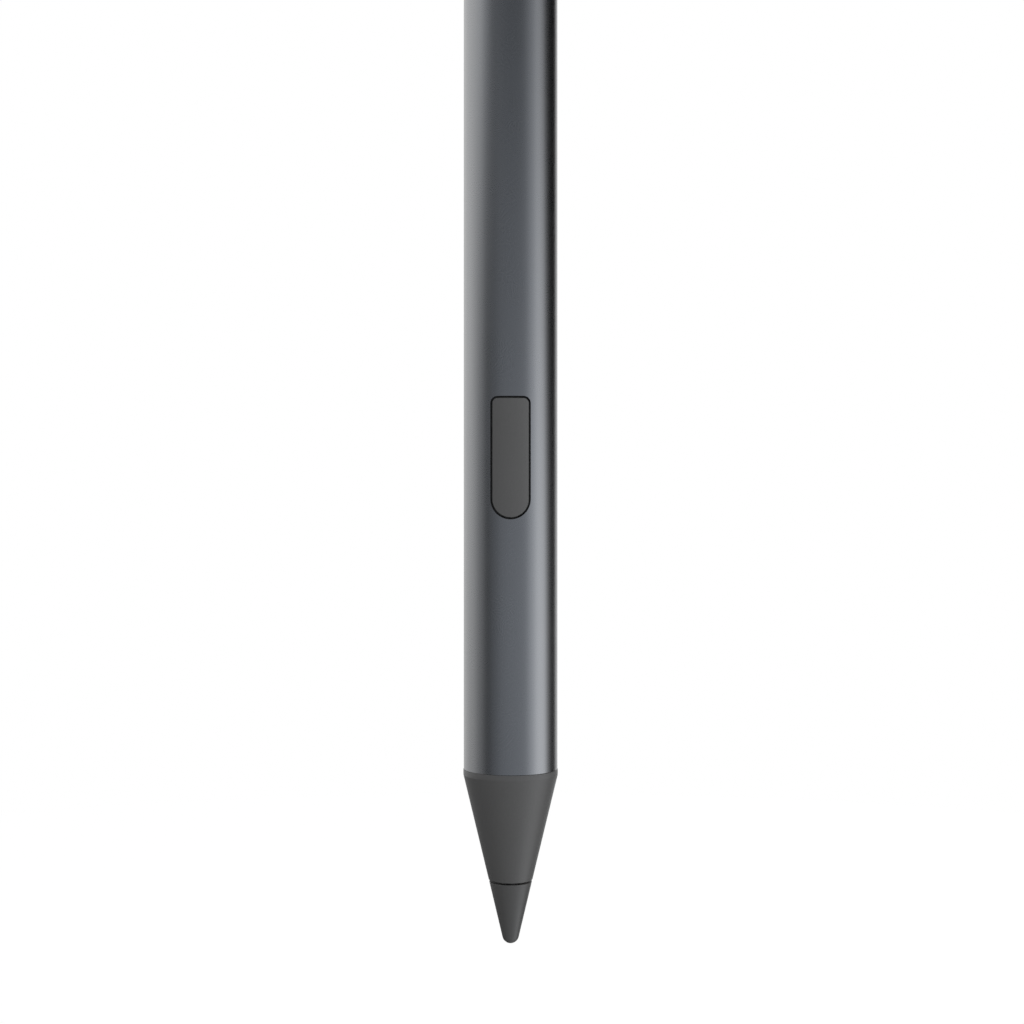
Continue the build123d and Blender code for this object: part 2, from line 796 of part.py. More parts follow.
# Tail sleeve, with a blind hole inside for its stop pin
with BuildPart() as tail_sleeve:
    with Locations((0, 0, sleeve_z)):
        Cylinder(barrel_radius, sleeve_top_z - sleeve_z, align=STAND)
    chamfer(tail_sleeve.edges().filter_by(GeomType.CIRCLE), edge_break)
    with Locations((0, 0, sleeve_z)):
        Hole(bore_radius)
    with BuildSketch(Plane.XZ.offset(-bore_radius - stop_pin_seat)):
        with Locations((0, stop_pin_z)):
            Circle(stop_pin_radius + seat_gap)
    extrude(amount=bore_radius, mode=Mode.SUBTRACT)

with BuildPart() as stop_pin:
    with BuildSketch(Plane.XZ.offset(-bore_radius - stop_pin_seat + seat_gap)):
        with Locations((0, stop_pin_z)):
            Circle(stop_pin_radius)
    extrude(amount=stop_pin_seat - seat_gap + slide_gap + stop_pin_reach)

# Plastic end of the tail sleeve, hollow over the antenna
with BuildPart() as tail_end_cap:
    with BuildSketch(Plane.XZ):
        with BuildLine():
            Polyline(
                (0, pen_length),
                (barrel_radius, pen_length),
                (barrel_radius, sleeve_top_z),
                (bore_radius - seat_gap, sleeve_top_z),
                (bore_radius - seat_gap, cap_spigot_z),
                (bore_radius - seat_gap - cap_wall, cap_spigot_z),
                (bore_radius - seat_gap - cap_wall, cap_cavity_z),
                (0, cap_cavity_z),
                close=True,
            )
        make_face()
    revolve(axis=Axis.Z)
    fillet(tail_end_cap.edges().filter_by(GeomType.CIRCLE).group_by(Axis.Z)[-1], cap_round)

# One file for each piece
pieces = {
    "barrel": barrel,
    "front_cone": front_cone,
    "nib": nib,
    "nib_sleeve": nib_sleeve,
    "writing_shaft": writing_shaft,
    "lower_guide_bush": lower_guide_bush,
    "tilt_electrode": tilt_electrode,
    "upper_guide_bush": upper_guide_bush,
    "return_spring": return_spring,
    "pressure_pad": pressure_pad,
    "pressure_sensor": pressure_sensor,
    "sensor_ribbon": sensor_ribbon,
    "sensor_cap": sensor_cap,
    "inner_frame": inner_frame,
    "circuit_board": circuit_board,
    "board_screws": board_screws,
    "controller_chip": controller_chip,
    "radio_chip": radio_chip,
    "charger_chip": charger_chip,
    "board_passives": board_passives,
    "flex_connector": flex_connector,
    "side_button": side_button,
    "switch_body": switch_body,
    "switch_actuator": switch_actuator,
    "battery_cell": battery_cell,
    "battery_pad": battery_pad,
    "battery_tabs": battery_tabs,
    "ribbon_cable": ribbon_cable,
    "port_core_front": port_core_front,
    "port_core_rear": port_core_rear,
    "port_shell": port_shell,
    "port_tongue": port_tongue,
    "port_contacts": port_contacts,
    "port_board": port_board,
    "charge_led": charge_led,
    "light_pipe": light_pipe,
    "antenna_strip": antenna_strip,
    "sleeve_seal": sleeve_seal,
    "tail_sleeve": tail_sleeve,
    "stop_pin": stop_pin,
    "tail_end_cap": tail_end_cap,
}

os.makedirs("parts", exist_ok=True)
for name, piece in pieces.items():
    piece.part.label = name
    export_step(piece.part, f"parts/{name}.step")

print("overall length", round(pen_length, 3))
print("barrel from", round(barrel_z, 3), "to", round(barrel_top_z, 3))
print("button centre", round(button_z, 3), "port centre", round(port_z, 3))
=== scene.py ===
"""Looks of the stylus pen: its turned and moulded outer pieces, its finishes and the studio round it."""
import json
import math

import bmesh
import bpy
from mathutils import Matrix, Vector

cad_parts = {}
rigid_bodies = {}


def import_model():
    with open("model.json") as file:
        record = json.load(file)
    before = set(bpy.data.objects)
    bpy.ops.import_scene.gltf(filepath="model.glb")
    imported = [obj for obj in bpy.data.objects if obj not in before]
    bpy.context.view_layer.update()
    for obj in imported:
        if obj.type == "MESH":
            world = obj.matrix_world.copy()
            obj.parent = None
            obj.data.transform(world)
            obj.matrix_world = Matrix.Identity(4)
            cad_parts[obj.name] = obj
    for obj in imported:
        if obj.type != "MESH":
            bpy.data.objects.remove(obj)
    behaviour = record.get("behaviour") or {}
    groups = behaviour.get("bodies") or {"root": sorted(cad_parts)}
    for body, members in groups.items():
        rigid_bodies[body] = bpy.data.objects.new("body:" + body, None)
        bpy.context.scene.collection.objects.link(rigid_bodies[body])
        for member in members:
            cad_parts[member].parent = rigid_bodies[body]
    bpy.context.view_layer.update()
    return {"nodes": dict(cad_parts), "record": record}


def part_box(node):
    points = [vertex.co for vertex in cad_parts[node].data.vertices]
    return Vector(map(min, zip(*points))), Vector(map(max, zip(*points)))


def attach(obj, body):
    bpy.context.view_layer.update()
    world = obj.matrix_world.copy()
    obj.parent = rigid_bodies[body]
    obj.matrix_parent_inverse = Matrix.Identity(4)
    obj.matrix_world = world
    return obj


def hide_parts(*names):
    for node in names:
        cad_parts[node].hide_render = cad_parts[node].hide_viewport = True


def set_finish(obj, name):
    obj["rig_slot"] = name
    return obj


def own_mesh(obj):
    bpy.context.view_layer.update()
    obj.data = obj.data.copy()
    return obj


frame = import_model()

MM = 0.001
ROUND_STEPS = 256
PLACE_TOLERANCE = 0.003
CUT_TOLERANCE = 0.0001
TURN_TOLERANCE = 0.0005
WIRE_TOLERANCE = 0.01
FACING = 0.9
SMOOTH_DEGREES = 30
NIB_STEPS = 128
PEG_STEPS = 96
CURVE_STEPS = 1024
CORNER_STEPS = 16
WIRE_STEPS = 16
COIL_STEPS = 48


def span(node, axis):
    """The lowest and the highest place of a solid along one axis, in millimetres."""
    lowest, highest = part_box(node)
    return getattr(lowest, axis) / MM, getattr(highest, axis) / MM


def mid_height(node):
    """The height of a solid's middle."""
    return sum(span(node, "z")) / 2


def reach(node):
    """How far a solid reaches from the pen's axis."""
    corners = frame["nodes"][node].data.vertices
    return max(math.hypot(corner.co.x, corner.co.y) for corner in corners) / MM


def travel(joint):
    """How far a joint moves its piece, in millimetres."""
    rows = frame["record"]["behaviour"]["joints"]
    return next(row["range_m"][1] for row in rows if row["name"] == joint) / MM


# Sizes in millimetres: places and outer sizes from the frame's solids, and the rest as those have it inside
SEAT_GAP = 0.02
SLIDE_GAP = 0.05
CUTTER_OVERRUN = 1

# Sizes of the barrel and the front cone
BARREL_RADIUS = reach("barrel")
BARREL_LOW, BARREL_HIGH = span("barrel", "z")
BORE_RADIUS = 4.2
INSERT_RADIUS = BORE_RADIUS - SLIDE_GAP
EDGE_CHAMFER = 0.12
SEAM_CHAMFER = 0.03
RIM_RADIUS = reach("front_cone")
RIM_HEIGHT = 0.55
RIM_LOW = BARREL_LOW - RIM_HEIGHT
RIM_ROUND = 0.03
NOSE_LOW, CONE_SPIGOT_HIGH = span("front_cone", "z")
NOSE_RADIUS = 2.22
NOSE_ROUND = 0.04
CHAMBER_RADIUS = reach("tilt_electrode") + SEAT_GAP
BUSH_FLANGE = 1
BUSH_SEAT_LOW, BUSH_FLANGE_HIGH = span("lower_guide_bush", "z")
BUSH_SEAT_RADIUS = 1.71
CHAMBER_LOW = BUSH_FLANGE_HIGH - BUSH_FLANGE
SHAFT_HOLE_RADIUS = 1.05

# Sizes of the nib, the shaft, the spring and the pressure pad
NIB_TOP = span("nib", "z")[1]
NIB_TOP_RADIUS = 2.17
NIB_END_RADIUS = 0.85
NIB_SOCKET_RADIUS = reach("nib_sleeve") + SEAT_GAP
NIB_SOCKET_ROUND = 0.12
NIB_SOCKET_LOW = span("nib_sleeve", "z")[0] - SEAT_GAP
SHAFT_RADIUS = 0.9
PIN_RADIUS = 0.6
PIN_LOW, SHAFT_HIGH = span("writing_shaft", "z")
PIN_HIGH = 7.0
PIN_ROUND = 0.12
SHAFT_EDGE = 0.06
PUSHER_ROUND = 0.15
COLLAR_RADIUS = reach("writing_shaft")
COLLAR_LOW = span("upper_guide_bush", "z")[1]
COLLAR_HEIGHT = 1
COLLAR_HIGH = COLLAR_LOW + COLLAR_HEIGHT
PAD_RADIUS = reach("pressure_pad")
PAD_SEAT, PAD_HIGH = span("pressure_pad", "z")
PAD_LIFT = 0.01
PAD_LOW = PAD_SEAT + PAD_LIFT
PAD_ROUND = 0.1
GAUGE_WALL = 1
SPRING_SEAT = PAD_SEAT - GAUGE_WALL
SPRING_LOW = COLLAR_HIGH + SEAT_GAP
SPRING_HIGH = SPRING_SEAT - SEAT_GAP
SPRING_WIRE = 0.25
SPRING_RADIUS = 1.175
SPRING_TURNS = 6

# Sizes of the side button
BUTTON_WIDTH = 3.6
BUTTON_LENGTH = 11.8
BUTTON_MIDDLE = mid_height("side_button")
BUTTON_CORNER = 0.5
BUTTON_GAP = 0.2
BUTTON_EDGE = 0.04
BUTTON_SPARE = 0.5
BUTTON_FACE_BAND = 0.05
FLANGE_WIDTH = 2 * span("side_button", "x")[1]
FLANGE_LENGTH = 2 * (span("side_button", "z")[1] - BUTTON_MIDDLE)
FLANGE_CORNER = 0.3
STEM_RADIUS = 1
STEM_BACK = span("side_button", "y")[1]
STEM_LENGTH = 0.85
FLANGE_BACK = STEM_BACK - STEM_LENGTH
FLANGE_THICKNESS = 0.5
FLANGE_FRONT = FLANGE_BACK - FLANGE_THICKNESS

# Sizes of the tail sleeve and its end
SLEEVE_LOW, SLEEVE_HIGH = span("tail_sleeve", "z")
CAP_SPIGOT_LOW, PEN_TOP = span("tail_end_cap", "z")
CAP_SPIGOT_RADIUS = BORE_RADIUS - SEAT_GAP
CAP_ROUND = 1.1
CAP_SEAM_ROUND = 0.05
CAP_WALL = 1
CAP_ROOF = 1.3
CAP_HOLLOW_RADIUS = CAP_SPIGOT_RADIUS - CAP_WALL
CAP_HOLLOW_TOP = PEN_TOP - CAP_ROOF

# Sizes of the charging port and its light
PORT_ROOM = 0.05
PORT_WALL = 0.3
PORT_MOUTH_ROUND = 0.1
PORT_MIDDLE = mid_height("port_shell")
PORT_FRONT, PORT_BACK = span("port_shell", "y")
PORT_WIDTH = 2 * span("port_shell", "x")[1]
PORT_LENGTH = 8.94
TONGUE_FRONT = span("port_tongue", "y")[0]
TONGUE_LENGTH = 6.6
TONGUE_WIDTH = 0.7
TONGUE_CORNER = 0.12
TONGUE_EDGE = 0.08
TONGUE_ROOT = 0.5
TONGUE_BASE_DEPTH = 1.5
TONGUE_BASE_FRONT = PORT_BACK - TONGUE_BASE_DEPTH
TONGUE_BASE_WIDTH = 2 * span("port_tongue", "x")[1]
TONGUE_BASE_LENGTH = PORT_LENGTH - PORT_WIDTH + TONGUE_BASE_WIDTH
LIGHT_MIDDLE = mid_height("light_pipe")
LIGHT_FRONT, LIGHT_BACK = span("light_pipe", "y")
LIGHT_RADIUS = span("light_pipe", "x")[1]
LIGHT_HOLE_RADIUS = LIGHT_RADIUS + SEAT_GAP
LIGHT_ROUND = 0.15

# Sizes of the core under the sleeve, with the pocket of the port's board and the grooves of seal and stop
CORE_LOW, CORE_HIGH = span("port_core_front", "z")
CORE_HOLLOW_RADIUS = 3.3
CORE_WEB = span("port_board", "z")[0] - PORT_ROOM
PARTING_EDGE = 0.06
POST_RADIUS = 2.2
POST_ROUND = 0.15
POST_HIGH = span("port_core_rear", "z")[1]
POCKET_WIDTH = 2 * (span("port_board", "x")[1] + PORT_ROOM)
POCKET_BACK = span("port_board", "y")[1] + PORT_ROOM
POCKET_CORNER = 0.1
POCKET_OVERRUN = 0.5
POCKET_LOW = CORE_WEB - POCKET_OVERRUN
POCKET_HIGH = span("port_board", "z")[1] + PORT_ROOM
SEAL_SECTION = 0.9
SEAL_GROOVE_RADIUS = reach("sleeve_seal") - SEAL_SECTION - SLIDE_GAP
SEAL_GROOVE_LOW = mid_height("sleeve_seal") - SEAL_SECTION / 2 - SLIDE_GAP
SEAL_GROOVE_HIGH = mid_height("sleeve_seal") + SEAL_SECTION / 2 + SLIDE_GAP
STOP_ROOM = 0.4
STOP_RADIUS = span("stop_pin", "x")[1]
STOP_GROOVE_WIDTH = 2 * (STOP_RADIUS + SLIDE_GAP)
STOP_GROOVE_LOW = mid_height("stop_pin") - STOP_RADIUS - STOP_ROOM
STOP_GROOVE_HIGH = mid_height("stop_pin") + travel("sleeve_slide") + STOP_RADIUS + STOP_ROOM
STOP_GROOVE_FLOOR = span("stop_pin", "y")[0] - SLIDE_GAP


def clear_bench():
    """Leaves edit mode and deselects everything, before the next primitive is added."""
    if bpy.context.mode != "OBJECT":
        bpy.ops.object.mode_set(mode="OBJECT")
    bpy.ops.object.select_all(action="DESELECT")


def start_piece(name):
    """Takes the primitive that was just added into edit mode, with its place in its mesh."""
    piece = bpy.context.object
    piece.name = name
    bpy.ops.object.transform_apply(location=True, rotation=True, scale=True)
    bpy.ops.object.mode_set(mode="EDIT")
    bpy.ops.mesh.select_all(action="SELECT")
    return piece


def pick_edges(test):
    """Selects the edges in edit mode whose two ends pass a test of their places in millimetres."""
    mesh = bpy.context.object.data
    bpy.ops.mesh.select_mode(type="EDGE")
    bpy.ops.mesh.select_all(action="DESELECT")
    shape = bmesh.from_edit_mesh(mesh)
    for edge in shape.edges:
        start, end = (corner.co / MM for corner in edge.verts)
        edge.select_set(test(start, end))
    bmesh.update_edit_mesh(mesh)


def pick_ring(radius, height):
    """Selects the edges of one ring round the pen's axis."""

    def on_ring(place):
        off_radius = abs(math.hypot(place.x, place.y) - radius)
        return off_radius < PLACE_TOLERANCE and abs(place.z - height) < PLACE_TOLERANCE

    pick_edges(lambda start, end: on_ring(start) and on_ring(end))


def pick_faces(test):
    """Selects the faces in edit mode whose middle in millimetres and normal pass a test."""
    mesh = bpy.context.object.data
    bpy.ops.mesh.select_mode(type="FACE")
    bpy.ops.mesh.select_all(action="DESELECT")
    shape = bmesh.from_edit_mesh(mesh)
    for face in shape.faces:
        face.select_set(test(face.calc_center_median() / MM, face.normal))
    bmesh.update_edit_mesh(mesh)


def turn_piece(name, outline, steps=ROUND_STEPS):
    """Turns a piece on the pen's axis: a ring extruded from corner to corner of (radius, height)."""
    clear_bench()
    radius, height = outline[0]
    bpy.ops.mesh.primitive_circle_add(vertices=steps, radius=radius * MM, location=(0, 0, height * MM))
    piece = start_piece(name)
    for next_radius, next_height in outline[1:]:
        rise = (0, 0, (next_height - height) * MM)
        bpy.ops.mesh.extrude_region_move(TRANSFORM_OT_translate={"value": rise})
        if next_radius == 0:
            bpy.ops.mesh.merge(type="CENTER")
        else:
            growth = next_radius / radius
            middle = (0, 0, next_height * MM)
            bpy.ops.transform.resize(value=(growth, growth, 1), center_override=middle)
        radius, height = next_radius, next_height
    bpy.ops.mesh.select_all(action="SELECT")
    bpy.ops.mesh.remove_doubles(threshold=TURN_TOLERANCE * MM)
    return piece


def close_ring(radius, height):
    """Fills a turned piece's open ring with a flat end."""
    pick_ring(radius, height)
    bpy.ops.mesh.edge_face_add()


def round_ring(radius, height, width, steps):
    """Rounds the corner of a turned piece at one ring."""
    pick_ring(radius, height)
    bpy.ops.mesh.bevel(offset=width * MM, segments=steps, profile=0.5, affect="EDGES")


def crease_ring(radius, height):
    """Keeps a turned piece's shallow corner crisp."""
    pick_ring(radius, height)
    bpy.ops.mesh.mark_sharp()


def end_piece(piece, body, slot, *nodes):
    """Turns the faces outwards, shades the piece and lets it stand for its solids."""
    bpy.ops.mesh.select_all(action="SELECT")
    bpy.ops.mesh.normals_make_consistent(inside=False)
    bpy.ops.object.mode_set(mode="OBJECT")
    bpy.ops.object.shade_smooth_by_angle(angle=math.radians(SMOOTH_DEGREES))
    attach(piece, body)
    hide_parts(*nodes)
    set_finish(piece, slot)
    return piece


def rounded_block(name, width, length, middle, front, back, tail_round, tip_round):
    """A block that is a rounded rectangle from the front, with a radius for its tail and one for its tip."""
    tail_end = middle + length / 2
    tip_end = middle - length / 2
    clear_bench()
    bpy.ops.mesh.primitive_plane_add(
        size=MM,
        location=(0, front * MM, middle * MM),
        rotation=(math.radians(90), 0, 0),
    )
    bpy.context.object.scale = (width, length, 1)
    block = start_piece(name)
    bpy.ops.mesh.extrude_region_move(TRANSFORM_OT_translate={"value": (0, (back - front) * MM, 0)})

    def runs_back(start, end):
        return abs(start.x - end.x) + abs(start.z - end.z) < PLACE_TOLERANCE

    pick_edges(lambda start, end: runs_back(start, end) and abs(start.z - tail_end) < PLACE_TOLERANCE)
    bpy.ops.mesh.bevel(offset=tail_round * MM, segments=CORNER_STEPS, profile=0.5, affect="EDGES")
    pick_edges(lambda start, end: runs_back(start, end) and abs(start.z - tip_end) < PLACE_TOLERANCE)
    bpy.ops.mesh.bevel(offset=tip_round * MM, segments=CORNER_STEPS, profile=0.5, affect="EDGES")
    bpy.ops.mesh.select_all(action="SELECT")
    bpy.ops.mesh.remove_doubles(threshold=PLACE_TOLERANCE * MM)
    bpy.ops.mesh.normals_make_consistent(inside=False)
    return block


def round_cutter(name, radius, height, front, back):
    """A round peg that runs from front to back at one height."""
    clear_bench()
    bpy.ops.mesh.primitive_cylinder_add(
        vertices=PEG_STEPS,
        radius=radius * MM,
        depth=(back - front) * MM,
        location=(0, (front + back) / 2 * MM, height * MM),
        rotation=(math.radians(90), 0, 0),
    )
    return start_piece(name)


def put_together(piece, other, operation):
    """Adds another shape to a piece or takes it away, removes that shape and goes on editing the piece."""
    clear_bench()
    bpy.context.view_layer.objects.active = piece
    piece.select_set(True)
    joint = piece.modifiers.new("joint", "BOOLEAN")
    joint.operation = operation
    joint.solver = "EXACT"
    joint.object = other
    bpy.ops.object.modifier_apply(modifier=joint.name)
    bpy.data.objects.remove(other)
    bpy.ops.object.mode_set(mode="EDIT")
    bpy.ops.mesh.select_all(action="SELECT")
    bpy.ops.mesh.remove_doubles(threshold=CUT_TOLERANCE * MM)


def cut_away(piece, cutter):
    """Cuts the cutter's shape out of a piece."""
    put_together(piece, cutter, "DIFFERENCE")


def weld_on(piece, other):
    """Makes one closed shape of a piece and another that reaches into it."""
    put_together(piece, other, "UNION")


# Barrel: a tube with chamfered ends and the button's slot
barrel = turn_piece(
    "barrel_tube",
    [
        (BARREL_RADIUS - SEAM_CHAMFER, BARREL_LOW),
        (BARREL_RADIUS, BARREL_LOW + SEAM_CHAMFER),
        (BARREL_RADIUS, BARREL_HIGH - EDGE_CHAMFER),
        (BARREL_RADIUS - EDGE_CHAMFER, BARREL_HIGH),
        (BORE_RADIUS, BARREL_HIGH),
        (BORE_RADIUS, BARREL_LOW),
        (BARREL_RADIUS - SEAM_CHAMFER, BARREL_LOW),
    ],
)
bpy.ops.mesh.normals_make_consistent(inside=False)
slot_cutter = rounded_block(
    "slot_cutter",
    BUTTON_WIDTH + 2 * BUTTON_GAP,
    BUTTON_LENGTH + 2 * BUTTON_GAP,
    BUTTON_MIDDLE,
    -BARREL_RADIUS - CUTTER_OVERRUN,
    FLANGE_BACK,
    BUTTON_CORNER + BUTTON_GAP,
    BUTTON_WIDTH / 2 + BUTTON_GAP,
)
cut_away(barrel, slot_cutter)
end_piece(barrel, "body", "anodised_metal", "barrel")

# Front cone: rim, taper, rounded nose, and the spigot and stepped bore inside
front_cone = turn_piece(
    "front_cone_shell",
    [
        (SHAFT_HOLE_RADIUS, NOSE_LOW),
        (NOSE_RADIUS, NOSE_LOW),
        (RIM_RADIUS, RIM_LOW),
        (RIM_RADIUS, BARREL_LOW),
        (INSERT_RADIUS, BARREL_LOW),
        (INSERT_RADIUS, CONE_SPIGOT_HIGH),
        (CHAMBER_RADIUS, CONE_SPIGOT_HIGH),
        (CHAMBER_RADIUS, CHAMBER_LOW),
        (BUSH_SEAT_RADIUS, CHAMBER_LOW),
        (BUSH_SEAT_RADIUS, BUSH_SEAT_LOW),
        (SHAFT_HOLE_RADIUS, BUSH_SEAT_LOW),
        (SHAFT_HOLE_RADIUS, NOSE_LOW),
    ],
)
crease_ring(RIM_RADIUS, RIM_LOW)
round_ring(NOSE_RADIUS, NOSE_LOW, NOSE_ROUND, 6)
round_ring(RIM_RADIUS, BARREL_LOW, RIM_ROUND, 3)
end_piece(front_cone, "body", "body_plastic", "front_cone")

# Nib: socket, rounded shoulder, taper and ball end
nib_side = math.hypot(NIB_TOP_RADIUS, NIB_TOP - NIB_END_RADIUS)
nib_lean = math.atan2(NIB_TOP_RADIUS, NIB_TOP - NIB_END_RADIUS) - math.asin(NIB_END_RADIUS / nib_side)
BALL_STEPS = 24
ball_end = []
for ball_step in range(BALL_STEPS):
    dip = nib_lean + (math.pi / 2 - nib_lean) * ball_step / BALL_STEPS
    ball_end.append((NIB_END_RADIUS * math.cos(dip), NIB_END_RADIUS * (1 - math.sin(dip))))
nib = turn_piece(
    "nib_tip",
    [
        (NIB_SOCKET_RADIUS, NIB_SOCKET_LOW),
        (NIB_SOCKET_RADIUS, NIB_TOP),
        (NIB_TOP_RADIUS, NIB_TOP),
        *ball_end,
        (0, 0),
    ],
    NIB_STEPS,
)
close_ring(NIB_SOCKET_RADIUS, NIB_SOCKET_LOW)
round_ring(NIB_TOP_RADIUS, NIB_TOP, NOSE_ROUND, 6)
round_ring(NIB_SOCKET_RADIUS, NIB_TOP, NIB_SOCKET_ROUND, 3)
end_piece(nib, "nib", "nib_plastic", "nib")

# Side button: a face that follows the barrel's curve, with a flange and a round stem behind
BUTTON_FRONT = -BARREL_RADIUS - BUTTON_SPARE
BUTTON_BACK = (FLANGE_FRONT + FLANGE_BACK) / 2
side_button = rounded_block(
    "side_button_cap",
    BUTTON_WIDTH,
    BUTTON_LENGTH,
    BUTTON_MIDDLE,
    BUTTON_FRONT,
    BUTTON_BACK,
    BUTTON_CORNER,
    BUTTON_WIDTH / 2,
)


def on_flat_face(middle, normal):
    """Whether a face of the button is still in its flat front."""
    return abs(middle.y - BUTTON_FRONT) < PLACE_TOLERANCE


FACE_COLUMNS = 30
for face_column in range(1, FACE_COLUMNS):
    pick_faces(on_flat_face)
    column_place = (face_column / FACE_COLUMNS - 0.5) * BUTTON_WIDTH * MM
    bpy.ops.mesh.bisect(plane_co=(column_place, 0, 0), plane_no=(1, 0, 0), threshold=CUT_TOLERANCE * MM)
FACE_ROWS = 20
for face_row in range(1, FACE_ROWS):
    pick_faces(on_flat_face)
    row_place = (BUTTON_MIDDLE + (face_row / FACE_ROWS - 0.5) * BUTTON_LENGTH) * MM
    bpy.ops.mesh.bisect(plane_co=(0, 0, row_place), plane_no=(0, 0, 1), threshold=CUT_TOLERANCE * MM)
clear_bench()
button_face = side_button.vertex_groups.new(name="face")
button_face.add([v.index for v in side_button.data.vertices if v.co.y < -BARREL_RADIUS * MM], 1, "REPLACE")
bpy.ops.mesh.primitive_cylinder_add(
    vertices=CURVE_STEPS,
    radius=BARREL_RADIUS * MM,
    depth=2 * BUTTON_LENGTH * MM,
    location=(0, 0, BUTTON_MIDDLE * MM),
)
barrel_curve = bpy.context.object
bpy.context.view_layer.objects.active = side_button
lay_on = side_button.modifiers.new("lay on the barrel's curve", "SHRINKWRAP")
lay_on.target = barrel_curve
lay_on.wrap_method = "PROJECT"
lay_on.use_project_y = True
lay_on.use_positive_direction = True
lay_on.use_negative_direction = False
lay_on.vertex_group = "face"
bpy.ops.object.modifier_apply(modifier=lay_on.name)
bpy.data.objects.remove(barrel_curve)
side_button.vertex_groups.clear()
side_button.select_set(True)
bpy.ops.object.mode_set(mode="EDIT")


def on_curved_face(middle, normal):
    """Whether a face of the button lies on the barrel's curve and looks forward."""
    return normal.y < -FACING and math.hypot(middle.x, middle.y) > BARREL_RADIUS - BUTTON_FACE_BAND


pick_faces(on_curved_face)
bpy.ops.mesh.inset(thickness=BUTTON_EDGE * MM, depth=0)
bpy.ops.mesh.select_more()
bpy.ops.mesh.region_to_loop()
bpy.ops.transform.translate(value=(0, BUTTON_EDGE * MM, 0))
button_flange = rounded_block(
    "button_flange",
    FLANGE_WIDTH,
    FLANGE_LENGTH,
    BUTTON_MIDDLE,
    FLANGE_FRONT,
    FLANGE_BACK,
    FLANGE_CORNER,
    FLANGE_CORNER,
)
weld_on(side_button, button_flange)
weld_on(side_button, round_cutter("button_stem", STEM_RADIUS, BUTTON_MIDDLE, BUTTON_BACK, STEM_BACK))
bpy.ops.mesh.remove_doubles(threshold=PLACE_TOLERANCE * MM)
end_piece(side_button, "button", "body_plastic", "side_button")

# Tail sleeve and its plastic end
tail_sleeve = turn_piece(
    "tail_sleeve_tube",
    [
        (BARREL_RADIUS - EDGE_CHAMFER, SLEEVE_LOW),
        (BARREL_RADIUS, SLEEVE_LOW + EDGE_CHAMFER),
        (BARREL_RADIUS, SLEEVE_HIGH - EDGE_CHAMFER),
        (BARREL_RADIUS - EDGE_CHAMFER, SLEEVE_HIGH),
        (BORE_RADIUS, SLEEVE_HIGH),
        (BORE_RADIUS, SLEEVE_LOW),
        (BARREL_RADIUS - EDGE_CHAMFER, SLEEVE_LOW),
    ],
)
end_piece(tail_sleeve, "tail", "anodised_metal", "tail_sleeve")

tail_end_cap = turn_piece(
    "tail_end_cap_shell",
    [
        (BARREL_RADIUS, PEN_TOP),
        (BARREL_RADIUS, SLEEVE_HIGH),
        (CAP_SPIGOT_RADIUS, SLEEVE_HIGH),
        (CAP_SPIGOT_RADIUS, CAP_SPIGOT_LOW),
        (CAP_HOLLOW_RADIUS, CAP_SPIGOT_LOW),
        (CAP_HOLLOW_RADIUS, CAP_HOLLOW_TOP),
    ],
)
close_ring(BARREL_RADIUS, PEN_TOP)
close_ring(CAP_HOLLOW_RADIUS, CAP_HOLLOW_TOP)
round_ring(BARREL_RADIUS, PEN_TOP, CAP_ROUND, 20)
round_ring(BARREL_RADIUS, SLEEVE_HIGH, CAP_SEAM_ROUND, 3)
end_piece(tail_end_cap, "tail", "body_plastic", "tail_end_cap")

# Writing shaft: the pin that the nib grips, the collar and the pusher
writing_shaft = turn_piece(
    "writing_shaft_pin",
    [
        (PIN_RADIUS, PIN_LOW),
        (PIN_RADIUS, PIN_HIGH),
        (SHAFT_RADIUS, PIN_HIGH),
        (SHAFT_RADIUS, COLLAR_LOW),
        (COLLAR_RADIUS, COLLAR_LOW),
        (COLLAR_RADIUS, COLLAR_HIGH),
        (SHAFT_RADIUS, COLLAR_HIGH),
        (SHAFT_RADIUS, SHAFT_HIGH),
    ],
    PEG_STEPS,
)
close_ring(PIN_RADIUS, PIN_LOW)
close_ring(SHAFT_RADIUS, SHAFT_HIGH)
round_ring(PIN_RADIUS, PIN_LOW, PIN_ROUND, 4)
round_ring(SHAFT_RADIUS, PIN_HIGH, SHAFT_EDGE, 2)
round_ring(COLLAR_RADIUS, COLLAR_LOW, SHAFT_EDGE, 2)
round_ring(COLLAR_RADIUS, COLLAR_HIGH, SHAFT_EDGE, 2)
round_ring(SHAFT_RADIUS, SHAFT_HIGH, PUSHER_ROUND, 4)
end_piece(writing_shaft, "shaft", "shaft_steel", "writing_shaft")

# Return spring: wire wound round the shaft above its collar
clear_bench()
bpy.ops.mesh.primitive_circle_add(
    vertices=WIRE_STEPS,
    radius=SPRING_WIRE / 2 * MM,
    location=(SPRING_RADIUS * MM, 0, (SPRING_LOW + SPRING_WIRE / 2) * MM),
    rotation=(math.radians(90), 0, 0),
)
return_spring = start_piece("return_spring_coil")
bpy.ops.object.mode_set(mode="OBJECT")
winding = return_spring.modifiers.new("winding", "SCREW")
winding.axis = "Z"
winding.iterations = SPRING_TURNS
winding.screw_offset = (SPRING_HIGH - SPRING_LOW - SPRING_WIRE) / SPRING_TURNS * MM
winding.steps = COIL_STEPS
winding.render_steps = COIL_STEPS
bpy.ops.object.modifier_apply(modifier=winding.name)
bpy.ops.object.mode_set(mode="EDIT")


def on_wire_end(place, low, high):
    """Whether a place is on the cut end of the spring's wire between two heights."""
    at_cut = place.x > 0 and abs(place.y) < PLACE_TOLERANCE
    return at_cut and low - WIRE_TOLERANCE < place.z < high + WIRE_TOLERANCE


